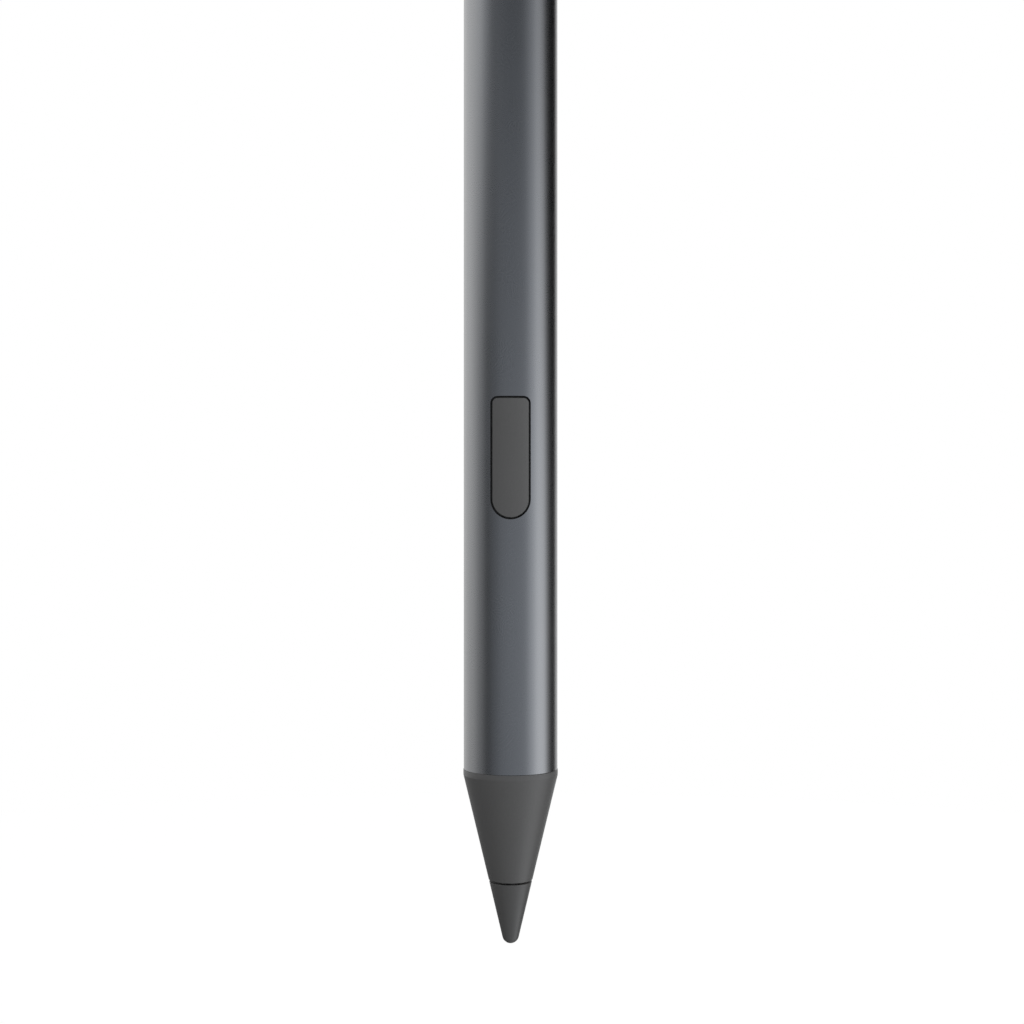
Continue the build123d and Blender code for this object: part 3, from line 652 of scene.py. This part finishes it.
for wire_low in (SPRING_LOW, SPRING_HIGH - SPRING_WIRE):
    wire_high = wire_low + SPRING_WIRE
    pick_edges(
        lambda start, end: on_wire_end(start, wire_low, wire_high) and on_wire_end(end, wire_low, wire_high)
    )
    bpy.ops.mesh.edge_face_add()
end_piece(return_spring, "body", "spring_steel", "return_spring")
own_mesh(return_spring)

# Pressure pad: a silicone disc that the shaft's end pushes on
pressure_pad = turn_piece("pressure_pad_disc", [(PAD_RADIUS, PAD_LOW), (PAD_RADIUS, PAD_HIGH)], PEG_STEPS)
close_ring(PAD_RADIUS, PAD_LOW)
close_ring(PAD_RADIUS, PAD_HIGH)
round_ring(PAD_RADIUS, PAD_LOW, PAD_ROUND, 4)
end_piece(pressure_pad, "body", "silicone", "pressure_pad")
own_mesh(pressure_pad)


def core_half(name, keep_front):
    """Half of the moulded core under the tail sleeve, split down the middle, its parting edges broken."""
    core = turn_piece(
        name,
        [
            (CORE_HOLLOW_RADIUS, CORE_WEB),
            (CORE_HOLLOW_RADIUS, CORE_LOW),
            (INSERT_RADIUS, CORE_LOW),
            (INSERT_RADIUS, SEAL_GROOVE_LOW),
            (SEAL_GROOVE_RADIUS, SEAL_GROOVE_LOW),
            (SEAL_GROOVE_RADIUS, SEAL_GROOVE_HIGH),
            (INSERT_RADIUS, SEAL_GROOVE_HIGH),
            (INSERT_RADIUS, CORE_HIGH),
        ],
    )
    close_ring(CORE_HOLLOW_RADIUS, CORE_WEB)
    close_ring(INSERT_RADIUS, CORE_HIGH)
    bpy.ops.mesh.select_all(action="SELECT")
    bpy.ops.mesh.normals_make_consistent(inside=False)
    bpy.ops.mesh.bisect(
        plane_co=(0, 0, 0),
        plane_no=(0, 1, 0),
        use_fill=True,
        clear_outer=keep_front,
        clear_inner=not keep_front,
        threshold=CUT_TOLERANCE * MM,
    )

    def on_parting_edge(place):
        return abs(place.y) < PLACE_TOLERANCE and abs(abs(place.x) - INSERT_RADIUS) < PLACE_TOLERANCE

    pick_edges(lambda start, end: on_parting_edge(start) and on_parting_edge(end))
    bpy.ops.mesh.bevel(offset=PARTING_EDGE * MM, segments=1, affect="EDGES")
    bpy.ops.mesh.select_all(action="SELECT")
    bpy.ops.mesh.normals_make_consistent(inside=False)
    return core


# Core's front half: the window of the charging port and the hole of the light
core_front = core_half("port_core_front_half", True)
port_window = rounded_block(
    "port_window",
    PORT_WIDTH + 2 * PORT_ROOM,
    PORT_LENGTH + 2 * PORT_ROOM,
    PORT_MIDDLE,
    -INSERT_RADIUS - CUTTER_OVERRUN,
    CUTTER_OVERRUN,
    PORT_WIDTH / 2 + PORT_ROOM,
    PORT_WIDTH / 2 + PORT_ROOM,
)
cut_away(core_front, port_window)
light_hole = round_cutter(
    "light_hole", LIGHT_HOLE_RADIUS, LIGHT_MIDDLE, -INSERT_RADIUS - CUTTER_OVERRUN, CUTTER_OVERRUN
)
cut_away(core_front, light_hole)
end_piece(core_front, "body", "core_plastic", "port_core_front")

# Core's rear half: the pocket behind the port and the groove of the sleeve's stop
core_rear = core_half("port_core_rear_half", False)
board_pocket = rounded_block(
    "board_pocket",
    POCKET_WIDTH,
    POCKET_HIGH - POCKET_LOW,
    (POCKET_HIGH + POCKET_LOW) / 2,
    -CUTTER_OVERRUN,
    POCKET_BACK,
    POCKET_CORNER,
    POCKET_CORNER,
)
cut_away(core_rear, board_pocket)
stop_groove = rounded_block(
    "stop_groove",
    STOP_GROOVE_WIDTH,
    STOP_GROOVE_HIGH - STOP_GROOVE_LOW,
    (STOP_GROOVE_HIGH + STOP_GROOVE_LOW) / 2,
    STOP_GROOVE_FLOOR,
    INSERT_RADIUS + CUTTER_OVERRUN,
    POCKET_CORNER,
    POCKET_CORNER,
)
cut_away(core_rear, stop_groove)
antenna_post = turn_piece("antenna_post", [(POST_RADIUS, CORE_HIGH), (POST_RADIUS, POST_HIGH)], PEG_STEPS)
close_ring(POST_RADIUS, CORE_HIGH)
close_ring(POST_RADIUS, POST_HIGH)
round_ring(POST_RADIUS, POST_HIGH, POST_ROUND, 3)
bpy.ops.mesh.select_all(action="SELECT")
bpy.ops.mesh.normals_make_consistent(inside=False)
weld_on(core_rear, antenna_post)
end_piece(core_rear, "body", "core_plastic", "port_core_rear")

# Charging port: a drawn shell with a rolled mouth, and the tongue in it
port_shell = rounded_block(
    "port_shell_can",
    PORT_WIDTH,
    PORT_LENGTH,
    PORT_MIDDLE,
    PORT_FRONT,
    PORT_BACK,
    PORT_WIDTH / 2,
    PORT_WIDTH / 2,
)
pick_faces(lambda middle, normal: abs(normal.y) > FACING)
bpy.ops.mesh.inset(thickness=PORT_WALL * MM, depth=0, use_individual=True)
bpy.ops.mesh.bridge_edge_loops()
pick_faces(lambda middle, normal: abs(middle.y - PORT_FRONT) < PLACE_TOLERANCE)
bpy.ops.mesh.region_to_loop()
bpy.ops.mesh.bevel(offset=PORT_MOUTH_ROUND * MM, segments=4, profile=0.5, affect="EDGES")
end_piece(port_shell, "body", "port_steel", "port_shell")

port_tongue = rounded_block(
    "port_tongue_blade",
    TONGUE_WIDTH,
    TONGUE_LENGTH,
    PORT_MIDDLE,
    TONGUE_FRONT,
    PORT_BACK - TONGUE_ROOT,
    TONGUE_CORNER,
    TONGUE_CORNER,
)
pick_faces(lambda middle, normal: abs(middle.y - TONGUE_FRONT) < PLACE_TOLERANCE)
bpy.ops.mesh.region_to_loop()
bpy.ops.mesh.bevel(offset=TONGUE_EDGE * MM, segments=3, profile=0.5, affect="EDGES")
tongue_base = rounded_block(
    "tongue_base",
    TONGUE_BASE_WIDTH,
    TONGUE_BASE_LENGTH,
    PORT_MIDDLE,
    TONGUE_BASE_FRONT,
    PORT_BACK,
    TONGUE_BASE_WIDTH / 2,
    TONGUE_BASE_WIDTH / 2,
)
weld_on(port_tongue, tongue_base)
end_piece(port_tongue, "body", "tongue_plastic", "port_tongue")

# Light pipe: a milky peg with a rounded end
light_pipe = round_cutter("light_pipe_peg", LIGHT_RADIUS, LIGHT_MIDDLE, LIGHT_FRONT, LIGHT_BACK)
pick_faces(lambda middle, normal: abs(middle.y - LIGHT_FRONT) < PLACE_TOLERANCE)
bpy.ops.mesh.region_to_loop()
bpy.ops.mesh.bevel(offset=LIGHT_ROUND * MM, segments=5, profile=0.5, affect="EDGES")
end_piece(light_pipe, "body", "clear_plastic", "light_pipe")


def new_group(name):
    """An empty shader group that turns a place and a scale into one surface pattern."""
    group = bpy.data.node_groups.new(name, "ShaderNodeTree")
    group.interface.new_socket("Place", in_out="INPUT", socket_type="NodeSocketVector")
    group.interface.new_socket("Per metre", in_out="INPUT", socket_type="NodeSocketFloat")
    group.interface.new_socket("Pattern", in_out="OUTPUT", socket_type="NodeSocketFloat")
    return group, group.nodes.new("NodeGroupInput"), group.nodes.new("NodeGroupOutput")


def group_math(group, operation, first, second):
    """A math node in a group, on links or plain numbers."""
    node = group.nodes.new("ShaderNodeMath")
    node.operation = operation
    for socket, value in zip(node.inputs, (first, second)):
        if isinstance(value, (int, float)):
            socket.default_value = value
        else:
            group.links.new(value, socket)
    return node.outputs["Value"]


# Values that the patterns and the finishes share
PATCH_SIZE = 40
PIT_SHARE = 0.75
STREAK_STRETCH = 0.04
PATTERN_LOW = 0.3
PATTERN_HIGH = 0.7
METAL = 1

# Blasted grain: the even pitting of blasted metal and moulded plastic, a little uneven from place to place
blasted_grain, grain_in, grain_out = new_group("Blasted grain")
fine_pits = blasted_grain.nodes.new("ShaderNodeTexNoise")
fine_pits.inputs["Detail"].default_value = 2
fine_pits.inputs["Roughness"].default_value = 0.6
blasted_grain.links.new(grain_in.outputs["Place"], fine_pits.inputs["Vector"])
blasted_grain.links.new(grain_in.outputs["Per metre"], fine_pits.inputs["Scale"])
wide_patches = blasted_grain.nodes.new("ShaderNodeTexNoise")
wide_patches.inputs["Detail"].default_value = 1
blasted_grain.links.new(grain_in.outputs["Place"], wide_patches.inputs["Vector"])
patch_scale = group_math(blasted_grain, "DIVIDE", grain_in.outputs["Per metre"], PATCH_SIZE)
blasted_grain.links.new(patch_scale, wide_patches.inputs["Scale"])
pit_share = group_math(blasted_grain, "MULTIPLY", fine_pits.outputs["Fac"], PIT_SHARE)
patch_share = group_math(blasted_grain, "MULTIPLY", wide_patches.outputs["Fac"], 1 - PIT_SHARE)
grain_sum = group_math(blasted_grain, "ADD", pit_share, patch_share)
blasted_grain.links.new(grain_sum, grain_out.inputs["Pattern"])

# Turning lines: fine rings that a lathe tool leaves along the pen's axis
turning_lines, lines_in, lines_out = new_group("Turning lines")
lines_place = turning_lines.nodes.new("ShaderNodeSeparateXYZ")
turning_lines.links.new(lines_in.outputs["Place"], lines_place.inputs["Vector"])
lines_noise = turning_lines.nodes.new("ShaderNodeTexNoise")
lines_noise.noise_dimensions = "1D"
lines_noise.inputs["Scale"].default_value = 1
lines_noise.inputs["Detail"].default_value = 3
lines_count = group_math(turning_lines, "MULTIPLY", lines_place.outputs["Z"], lines_in.outputs["Per metre"])
turning_lines.links.new(lines_count, lines_noise.inputs["W"])
turning_lines.links.new(lines_noise.outputs["Fac"], lines_out.inputs["Pattern"])

# Drawn streaks: the long scratches of drawn, rolled and stamped sheet
drawn_streaks, streaks_in, streaks_out = new_group("Drawn streaks")
streaks_stretch = drawn_streaks.nodes.new("ShaderNodeMapping")
streaks_stretch.inputs["Scale"].default_value = (1, 1, STREAK_STRETCH)
streaks_noise = drawn_streaks.nodes.new("ShaderNodeTexNoise")
streaks_noise.inputs["Detail"].default_value = 3
drawn_streaks.links.new(streaks_in.outputs["Place"], streaks_stretch.inputs["Vector"])
drawn_streaks.links.new(streaks_stretch.outputs["Vector"], streaks_noise.inputs["Vector"])
drawn_streaks.links.new(streaks_in.outputs["Per metre"], streaks_noise.inputs["Scale"])
drawn_streaks.links.new(streaks_noise.outputs["Fac"], streaks_out.inputs["Pattern"])

# Glass weave: the cloth that shows through a circuit board's lacquer
glass_weave, weave_in, weave_out = new_group("Glass weave")
weave_threads = []
for direction in ("X", "Z"):
    threads = glass_weave.nodes.new("ShaderNodeTexWave")
    threads.bands_direction = direction
    threads.inputs["Distortion"].default_value = 0.3
    glass_weave.links.new(weave_in.outputs["Place"], threads.inputs["Vector"])
    glass_weave.links.new(weave_in.outputs["Per metre"], threads.inputs["Scale"])
    weave_threads.append(threads.outputs["Fac"])
weave_over = group_math(glass_weave, "MAXIMUM", *weave_threads)
glass_weave.links.new(weave_over, weave_out.inputs["Pattern"])

# Foam cells: the closed bubbles of foam and the skin of cast rubber
foam_cells, cells_in, cells_out = new_group("Foam cells")
cells_voronoi = foam_cells.nodes.new("ShaderNodeTexVoronoi")
foam_cells.links.new(cells_in.outputs["Place"], cells_voronoi.inputs["Vector"])
foam_cells.links.new(cells_in.outputs["Per metre"], cells_voronoi.inputs["Scale"])
foam_cells.links.new(cells_voronoi.outputs["Distance"], cells_out.inputs["Pattern"])


def new_finish(slot, pattern, per_metre, dark, light, gloss, depth, metallic=0):
    """A finish whose colour, roughness and relief all follow one surface pattern."""
    finish = bpy.data.materials.new(slot)
    finish.use_nodes = True
    nodes = finish.node_tree.nodes
    links = finish.node_tree.links
    shader = nodes["Principled BSDF"]
    shader.inputs["Metallic"].default_value = metallic
    place = nodes.new("ShaderNodeTexCoord")
    surface = nodes.new("ShaderNodeGroup")
    surface.node_tree = pattern
    surface.inputs["Per metre"].default_value = per_metre
    tone = nodes.new("ShaderNodeMix")
    tone.data_type = "RGBA"
    tone.inputs["A"].default_value = (*dark, 1)
    tone.inputs["B"].default_value = (*light, 1)
    roughness = nodes.new("ShaderNodeMapRange")
    roughness.inputs["From Min"].default_value = PATTERN_LOW
    roughness.inputs["From Max"].default_value = PATTERN_HIGH
    roughness.inputs["To Min"].default_value = gloss[0]
    roughness.inputs["To Max"].default_value = gloss[1]
    relief = nodes.new("ShaderNodeBump")
    relief.inputs["Strength"].default_value = 1
    relief.inputs["Distance"].default_value = depth * MM
    links.new(place.outputs["Object"], surface.inputs["Place"])
    links.new(surface.outputs["Pattern"], tone.inputs["Factor"])
    links.new(surface.outputs["Pattern"], roughness.inputs["Value"])
    links.new(surface.outputs["Pattern"], relief.inputs["Height"])
    links.new(tone.outputs["Result"], shader.inputs["Base Color"])
    links.new(roughness.outputs["Result"], shader.inputs["Roughness"])
    links.new(relief.outputs["Normal"], shader.inputs["Normal"])
    finishes[slot] = finish
    return shader


def shown(red, green, blue):
    """A colour from its shown 0 to 255 values."""

    def straight(value):
        value = value / 255
        return value / 12.92 if value <= 0.04045 else ((value + 0.055) / 1.055) ** 2.4

    return straight(red), straight(green), straight(blue)


finishes = {}

# Finishes of the outside
new_finish(
    "anodised_metal", blasted_grain, 14000,
    (0.228, 0.232, 0.239), (0.244, 0.248, 0.255), (0.26, 0.30), 0.00015, METAL,
)
new_finish("body_plastic", blasted_grain, 9000, shown(77, 77, 77), shown(85, 85, 85), (0.40, 0.48), 0.001)
new_finish("nib_plastic", blasted_grain, 6000, shown(72, 72, 72), shown(78, 78, 78), (0.38, 0.46), 0.0008)

# Finishes under the nib and the tail sleeve
new_finish(
    "shaft_steel", turning_lines, 9000,
    (0.50, 0.50, 0.49), (0.62, 0.62, 0.61), (0.22, 0.36), 0.0006, METAL,
)
new_finish(
    "nickel", drawn_streaks, 5000,
    (0.58, 0.55, 0.50), (0.68, 0.65, 0.59), (0.26, 0.40), 0.0005, METAL,
)
new_finish("core_plastic", blasted_grain, 7000, shown(38, 38, 40), shown(46, 46, 48), (0.42, 0.52), 0.001)
new_finish(
    "port_steel", drawn_streaks, 6000,
    (0.56, 0.56, 0.55), (0.68, 0.68, 0.67), (0.22, 0.34), 0.0005, METAL,
)
new_finish(
    "tongue_plastic", blasted_grain, 8000,
    shown(30, 30, 31), shown(38, 38, 39), (0.45, 0.55), 0.0008,
)
new_finish(
    "contact_gold", drawn_streaks, 9000,
    (0.80, 0.55, 0.22), (0.90, 0.66, 0.30), (0.18, 0.30), 0.0003, METAL,
)
new_finish("seal_rubber", foam_cells, 9000, shown(24, 24, 25), shown(34, 34, 35), (0.55, 0.70), 0.0008)
new_finish(
    "screw_steel", turning_lines, 12000,
    (0.44, 0.44, 0.43), (0.56, 0.56, 0.55), (0.25, 0.38), 0.0005, METAL,
)
milky = new_finish(
    "clear_plastic", blasted_grain, 3000,
    (0.84, 0.86, 0.86), (0.92, 0.94, 0.94), (0.16, 0.24), 0.0002,
)
milky.inputs["Transmission Weight"].default_value = 0.6
milky.inputs["IOR"].default_value = 1.49

# Finishes of the writing parts inside the cone
new_finish(
    "spring_steel", drawn_streaks, 8000,
    (0.46, 0.46, 0.47), (0.58, 0.58, 0.59), (0.22, 0.34), 0.0004, METAL,
)
new_finish(
    "bush_polymer", turning_lines, 7000,
    shown(222, 219, 210), shown(233, 230, 222), (0.36, 0.46), 0.0008,
)
new_finish(
    "electrode_metal", drawn_streaks, 6000,
    (0.72, 0.52, 0.24), (0.84, 0.64, 0.34), (0.24, 0.36), 0.0004, METAL,
)
new_finish("silicone", foam_cells, 5000, shown(212, 212, 209), shown(228, 228, 225), (0.50, 0.62), 0.0008)
new_finish(
    "sensor_metal", drawn_streaks, 6000,
    (0.56, 0.56, 0.54), (0.68, 0.68, 0.66), (0.26, 0.38), 0.0005, METAL,
)

# Finishes of the electronics inside the barrel
new_finish(
    "frame_plastic", blasted_grain, 7000,
    shown(66, 66, 69), shown(74, 74, 77), (0.45, 0.55), 0.001,
)
new_finish(
    "board_laminate", glass_weave, 1500,
    shown(38, 98, 74), shown(50, 116, 88), (0.26, 0.36), 0.0008,
)
new_finish("chip_resin", blasted_grain, 12000, shown(58, 58, 58), shown(68, 68, 68), (0.48, 0.60), 0.0008)
new_finish(
    "passive_body", blasted_grain, 15000,
    shown(188, 170, 148), shown(204, 188, 168), (0.40, 0.55), 0.0006,
)
new_finish(
    "connector_plastic", blasted_grain, 9000,
    shown(232, 229, 220), shown(240, 238, 230), (0.40, 0.50), 0.0008,
)
new_finish(
    "switch_metal", drawn_streaks, 7000,
    (0.60, 0.60, 0.60), (0.72, 0.72, 0.72), (0.24, 0.36), 0.0004, METAL,
)
new_finish(
    "switch_plastic", blasted_grain, 9000,
    shown(76, 76, 76), shown(86, 86, 86), (0.42, 0.52), 0.0008,
)
new_finish(
    "cell_can", drawn_streaks, 4000,
    (0.66, 0.67, 0.69), (0.78, 0.79, 0.81), (0.26, 0.40), 0.0006, METAL,
)
new_finish("foam", foam_cells, 2500, shown(86, 86, 86), shown(106, 106, 106), (0.80, 0.95), 0.004)
new_finish(
    "polyimide", drawn_streaks, 5000,
    shown(196, 146, 70), shown(210, 160, 86), (0.20, 0.32), 0.0004,
)
new_finish(
    "lamp_resin", blasted_grain, 9000,
    shown(240, 238, 222), shown(248, 246, 232), (0.25, 0.35), 0.0006,
)
new_finish(
    "antenna_copper", drawn_streaks, 5000,
    (0.72, 0.43, 0.24), (0.84, 0.55, 0.34), (0.24, 0.36), 0.0004, METAL,
)

for piece in (
    barrel, tail_sleeve, front_cone, side_button, tail_end_cap, nib,
    writing_shaft, return_spring, pressure_pad,
    core_front, core_rear, port_shell, port_tongue, light_pipe,
):
    piece.data.materials.clear()
    piece.data.materials.append(finishes[piece["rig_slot"]])
for row in frame["record"]["subparts"]:
    solid = frame["nodes"][row["node"]]
    solid.data.materials.clear()
    solid.data.materials.append(finishes[row["material_slot"]])

# Camera, level with the pen and square to its button
CAMERA_LENS = 59.41
CAMERA_NEAR = 10
CAMERA_PLACE = (0.142, -171.5, 43.73)
camera_data = bpy.data.cameras.new("photo camera")
camera_data.lens = CAMERA_LENS
camera_data.clip_start = CAMERA_NEAR * MM
camera = bpy.data.objects.new("photo camera", camera_data)
camera.location = [place * MM for place in CAMERA_PLACE]
camera.rotation_euler = (math.radians(90), 0, 0)
bpy.context.scene.collection.objects.link(camera)
bpy.context.scene.camera = camera
bpy.context.scene.view_settings.view_transform = "Standard"

# Floor: a pale round table under the pen, whose seen tone and glow come to white together
FLOOR_LOW = -35
FLOOR_RADIUS = 300
FLOOR_STEPS = 128
FLOOR_TONE = 0.8
FLOOR_SEEN_TONE = 0.2
FLOOR_GLOW = 0.88
clear_bench()
bpy.ops.mesh.primitive_circle_add(
    vertices=FLOOR_STEPS,
    radius=FLOOR_RADIUS * MM,
    fill_type="NGON",
    location=(0, 0, FLOOR_LOW * MM),
)
floor = bpy.context.object
floor.name = "floor"
floor.visible_glossy = False
floor_paint = bpy.data.materials.new("pale floor")
floor_paint.use_nodes = True
floor_nodes = floor_paint.node_tree.nodes
floor_links = floor_paint.node_tree.links
floor_nodes.clear()
floor_diffuse = floor_nodes.new("ShaderNodeBsdfDiffuse")
floor_tone = floor_nodes.new("ShaderNodeMix")
floor_tone.data_type = "RGBA"
floor_tone.inputs["A"].default_value = (FLOOR_TONE, FLOOR_TONE, FLOOR_TONE, 1)
floor_tone.inputs["B"].default_value = (FLOOR_SEEN_TONE, FLOOR_SEEN_TONE, FLOOR_SEEN_TONE, 1)
floor_white = floor_nodes.new("ShaderNodeEmission")
floor_rays = floor_nodes.new("ShaderNodeLightPath")
floor_seen = floor_nodes.new("ShaderNodeMath")
floor_seen.operation = "MAXIMUM"
floor_level = floor_nodes.new("ShaderNodeMath")
floor_level.operation = "MULTIPLY"
floor_level.inputs[1].default_value = FLOOR_GLOW
floor_sum = floor_nodes.new("ShaderNodeAddShader")
floor_output = floor_nodes.new("ShaderNodeOutputMaterial")
floor_links.new(floor_rays.outputs["Is Camera Ray"], floor_seen.inputs[0])
floor_links.new(floor_rays.outputs["Is Transmission Ray"], floor_seen.inputs[1])
floor_links.new(floor_seen.outputs["Value"], floor_tone.inputs["Factor"])
floor_links.new(floor_tone.outputs["Result"], floor_diffuse.inputs["Color"])
floor_links.new(floor_seen.outputs["Value"], floor_level.inputs[0])
floor_links.new(floor_level.outputs["Value"], floor_white.inputs["Strength"])
floor_links.new(floor_diffuse.outputs["BSDF"], floor_sum.inputs[0])
floor_links.new(floor_white.outputs["Emission"], floor_sum.inputs[1])
floor_links.new(floor_sum.outputs["Shader"], floor_output.inputs["Surface"])
floor.data.materials.append(floor_paint)

# Studio round the pen: white behind and on the left, a cool grey room in front, a bright strip, a black flag
COOL_TINT = 0.074
COOL_GREEN = 0.018
FILL_LEVEL = 0.57
GROUND_DEGREES = -20
LOW_DEGREES = -9
MIDDLE_DEGREES = 5
HIGH_DEGREES = 17
MIDDLE_EASE = 2.1
HIGH_EASE = 1.3
world = bpy.data.worlds.new("studio")
bpy.context.scene.world = world
world.use_nodes = True
world.cycles.sampling_method = "NONE"
studio = world.node_tree
studio.nodes.clear()


def studio_ring(levels):
    """The studio's light round the pen: (degrees to the right of the camera, level, how cool it is)."""
    ramp = studio.nodes.new("ShaderNodeValToRGB")
    ramp.color_ramp.interpolation = "EASE"
    stops = ramp.color_ramp.elements
    while len(stops) < len(levels):
        stops.new(0.5)
    for stop, (degrees, level, cool) in zip(stops, levels):
        stop.position = degrees / 360 + 0.5
        red = level * (1 - COOL_TINT * cool)
        green = level * (1 - COOL_GREEN * cool)
        blue = level * (1 + COOL_TINT * cool)
        stop.color = (red, green, blue, 1)
    studio.links.new(studio_turn, ramp.inputs["Fac"])
    return ramp.outputs["Color"]


studio_way = studio.nodes.new("ShaderNodeTexCoord")
studio_split = studio.nodes.new("ShaderNodeSeparateXYZ")
studio.links.new(studio_way.outputs["Generated"], studio_split.inputs["Vector"])
towards_camera = group_math(studio, "MULTIPLY", studio_split.outputs["Y"], -1)
studio_angle = group_math(studio, "ARCTAN2", studio_split.outputs["X"], towards_camera)
studio_turn = group_math(studio, "ADD", group_math(studio, "DIVIDE", studio_angle, 2 * math.pi), 0.5)
ground_ring = studio_ring(
    [
        (-180, 0.2, 0), (-150, 0.05, 0), (-120, 0.05, 0), (-80, 0.15, 0.3), (-60, 0.1, 0.5), (-30, 0.18, 1),
        (0, 0.24, 1), (35, 0.36, 1), (55, 0.8, 0.7), (70, 1.35, 0.4), (90, 1.5, 0.3), (104, 0.4, 0),
        (113, 0.0, 0), (140, 0.0, 0), (151, 0.6, 0), (180, 0.6, 0),
    ]
)
low_ring = studio_ring(
    [
        (-180, 0.8, 0), (-135, 1.04, 0), (-105, 0.95, 0), (-80, 0.52, 0.3), (-58, 0.15, 0.7), (-40, 0.35, 1),
        (-20, 0.53, 1), (0, 0.6, 1), (35, 0.64, 1), (55, 1.18, 0.7), (70, 1.85, 0.4), (90, 1.85, 0.3),
        (105, 0.48, 0), (116, 0.06, 0), (135, 0.06, 0), (148, 1.0, 0), (180, 1.0, 0),
    ]
)
middle_ring = studio_ring(
    [
        (-180, 0.8, 0), (-135, 1.22, 0), (-115, 1.34, 0), (-100, 1.0, 0), (-80, 0.5, 0.3), (-60, 0.11, 0.6),
        (-42, 0.24, 0.9), (-20, 0.41, 1), (0, 0.46, 1), (35, 0.51, 1), (55, 0.99, 0.7), (70, 1.56, 0.4),
        (86, 1.35, 0.3), (97, 0.35, 0), (106, 0.0, 0), (137, 0.0, 0), (149, 1.0, 0), (180, 1.0, 0),
    ]
)
high_ring = studio_ring(
    [
        (-180, 0.8, 0), (-135, 1.27, 0), (-105, 1.37, 0), (-80, 1.3, 0.2), (-60, 0.75, 0.5), (-45, 0.33, 0.7),
        (0, 0.175, 1), (25, 0.16, 1), (50, 0.41, 0.8), (70, 0.8, 0.5), (86, 0.5, 0.3), (92, 0.08, 0),
        (97, 0.0, 0), (140, 0.0, 0), (151, 1.0, 0), (180, 1.0, 0),
    ]
)


def studio_share(lowest, highest):
    """How far a direction is from one height in degrees to another, from 0 to 1."""
    share = studio.nodes.new("ShaderNodeMapRange")
    share.inputs["From Min"].default_value = math.sin(math.radians(lowest))
    share.inputs["From Max"].default_value = math.sin(math.radians(highest))
    studio.links.new(studio_split.outputs["Z"], share.inputs["Value"])
    return share.outputs["Result"]


def studio_blend(share, lower, upper):
    """One ring of the studio passing into the ring above it."""
    blend = studio.nodes.new("ShaderNodeMix")
    blend.data_type = "RGBA"
    studio.links.new(share, blend.inputs["Factor"])
    studio.links.new(lower, blend.inputs["A"])
    studio.links.new(upper, blend.inputs["B"])
    return blend.outputs["Result"]


lower_studio = studio_blend(studio_share(GROUND_DEGREES, LOW_DEGREES), ground_ring, low_ring)
middle_share = group_math(studio, "POWER", studio_share(LOW_DEGREES, MIDDLE_DEGREES), MIDDLE_EASE)
middle_studio = studio_blend(middle_share, lower_studio, middle_ring)
upper_share = group_math(studio, "POWER", studio_share(MIDDLE_DEGREES, HIGH_DEGREES), HIGH_EASE)
whole_studio = studio_blend(upper_share, middle_studio, high_ring)
studio_rays = studio.nodes.new("ShaderNodeLightPath")
studio_seen = studio.nodes.new("ShaderNodeBackground")
studio.links.new(whole_studio, studio_seen.inputs["Color"])
studio_fill = studio.nodes.new("ShaderNodeBackground")
studio_fill.inputs["Color"].default_value = (FILL_LEVEL, FILL_LEVEL, FILL_LEVEL, 1)
studio_white = studio.nodes.new("ShaderNodeBackground")
studio_white.inputs["Color"].default_value = (1, 1, 1, 1)
gloss_choice = studio.nodes.new("ShaderNodeMixShader")
studio.links.new(studio_rays.outputs["Is Glossy Ray"], gloss_choice.inputs["Fac"])
studio.links.new(studio_fill.outputs["Background"], gloss_choice.inputs[1])
studio.links.new(studio_seen.outputs["Background"], gloss_choice.inputs[2])
white_rays = group_math(
    studio, "MAXIMUM", studio_rays.outputs["Is Camera Ray"], studio_rays.outputs["Is Transmission Ray"]
)
white_choice = studio.nodes.new("ShaderNodeMixShader")
studio.links.new(white_rays, white_choice.inputs["Fac"])
studio.links.new(gloss_choice.outputs["Shader"], white_choice.inputs[1])
studio.links.new(studio_white.outputs["Background"], white_choice.inputs[2])
studio_output = studio.nodes.new("ShaderNodeOutputWorld")
studio.links.new(white_choice.outputs["Shader"], studio_output.inputs["Surface"])

# Key lamp: a tall soft box to the right of the camera, for the plastic
KEY_WIDTH = 150
KEY_HEIGHT = 500
KEY_POWER = 1.5
KEY_PLACE = (350, -350, 100)
KEY_TURN = 45
key_data = bpy.data.lights.new("key soft box", "AREA")
key_data.shape = "RECTANGLE"
key_data.size = KEY_WIDTH * MM
key_data.size_y = KEY_HEIGHT * MM
key_data.energy = KEY_POWER
key = bpy.data.objects.new("key soft box", key_data)
key.location = [place * MM for place in KEY_PLACE]
key.rotation_euler = (math.radians(90), 0, math.radians(KEY_TURN))
key.visible_glossy = False
bpy.context.scene.collection.objects.link(key)
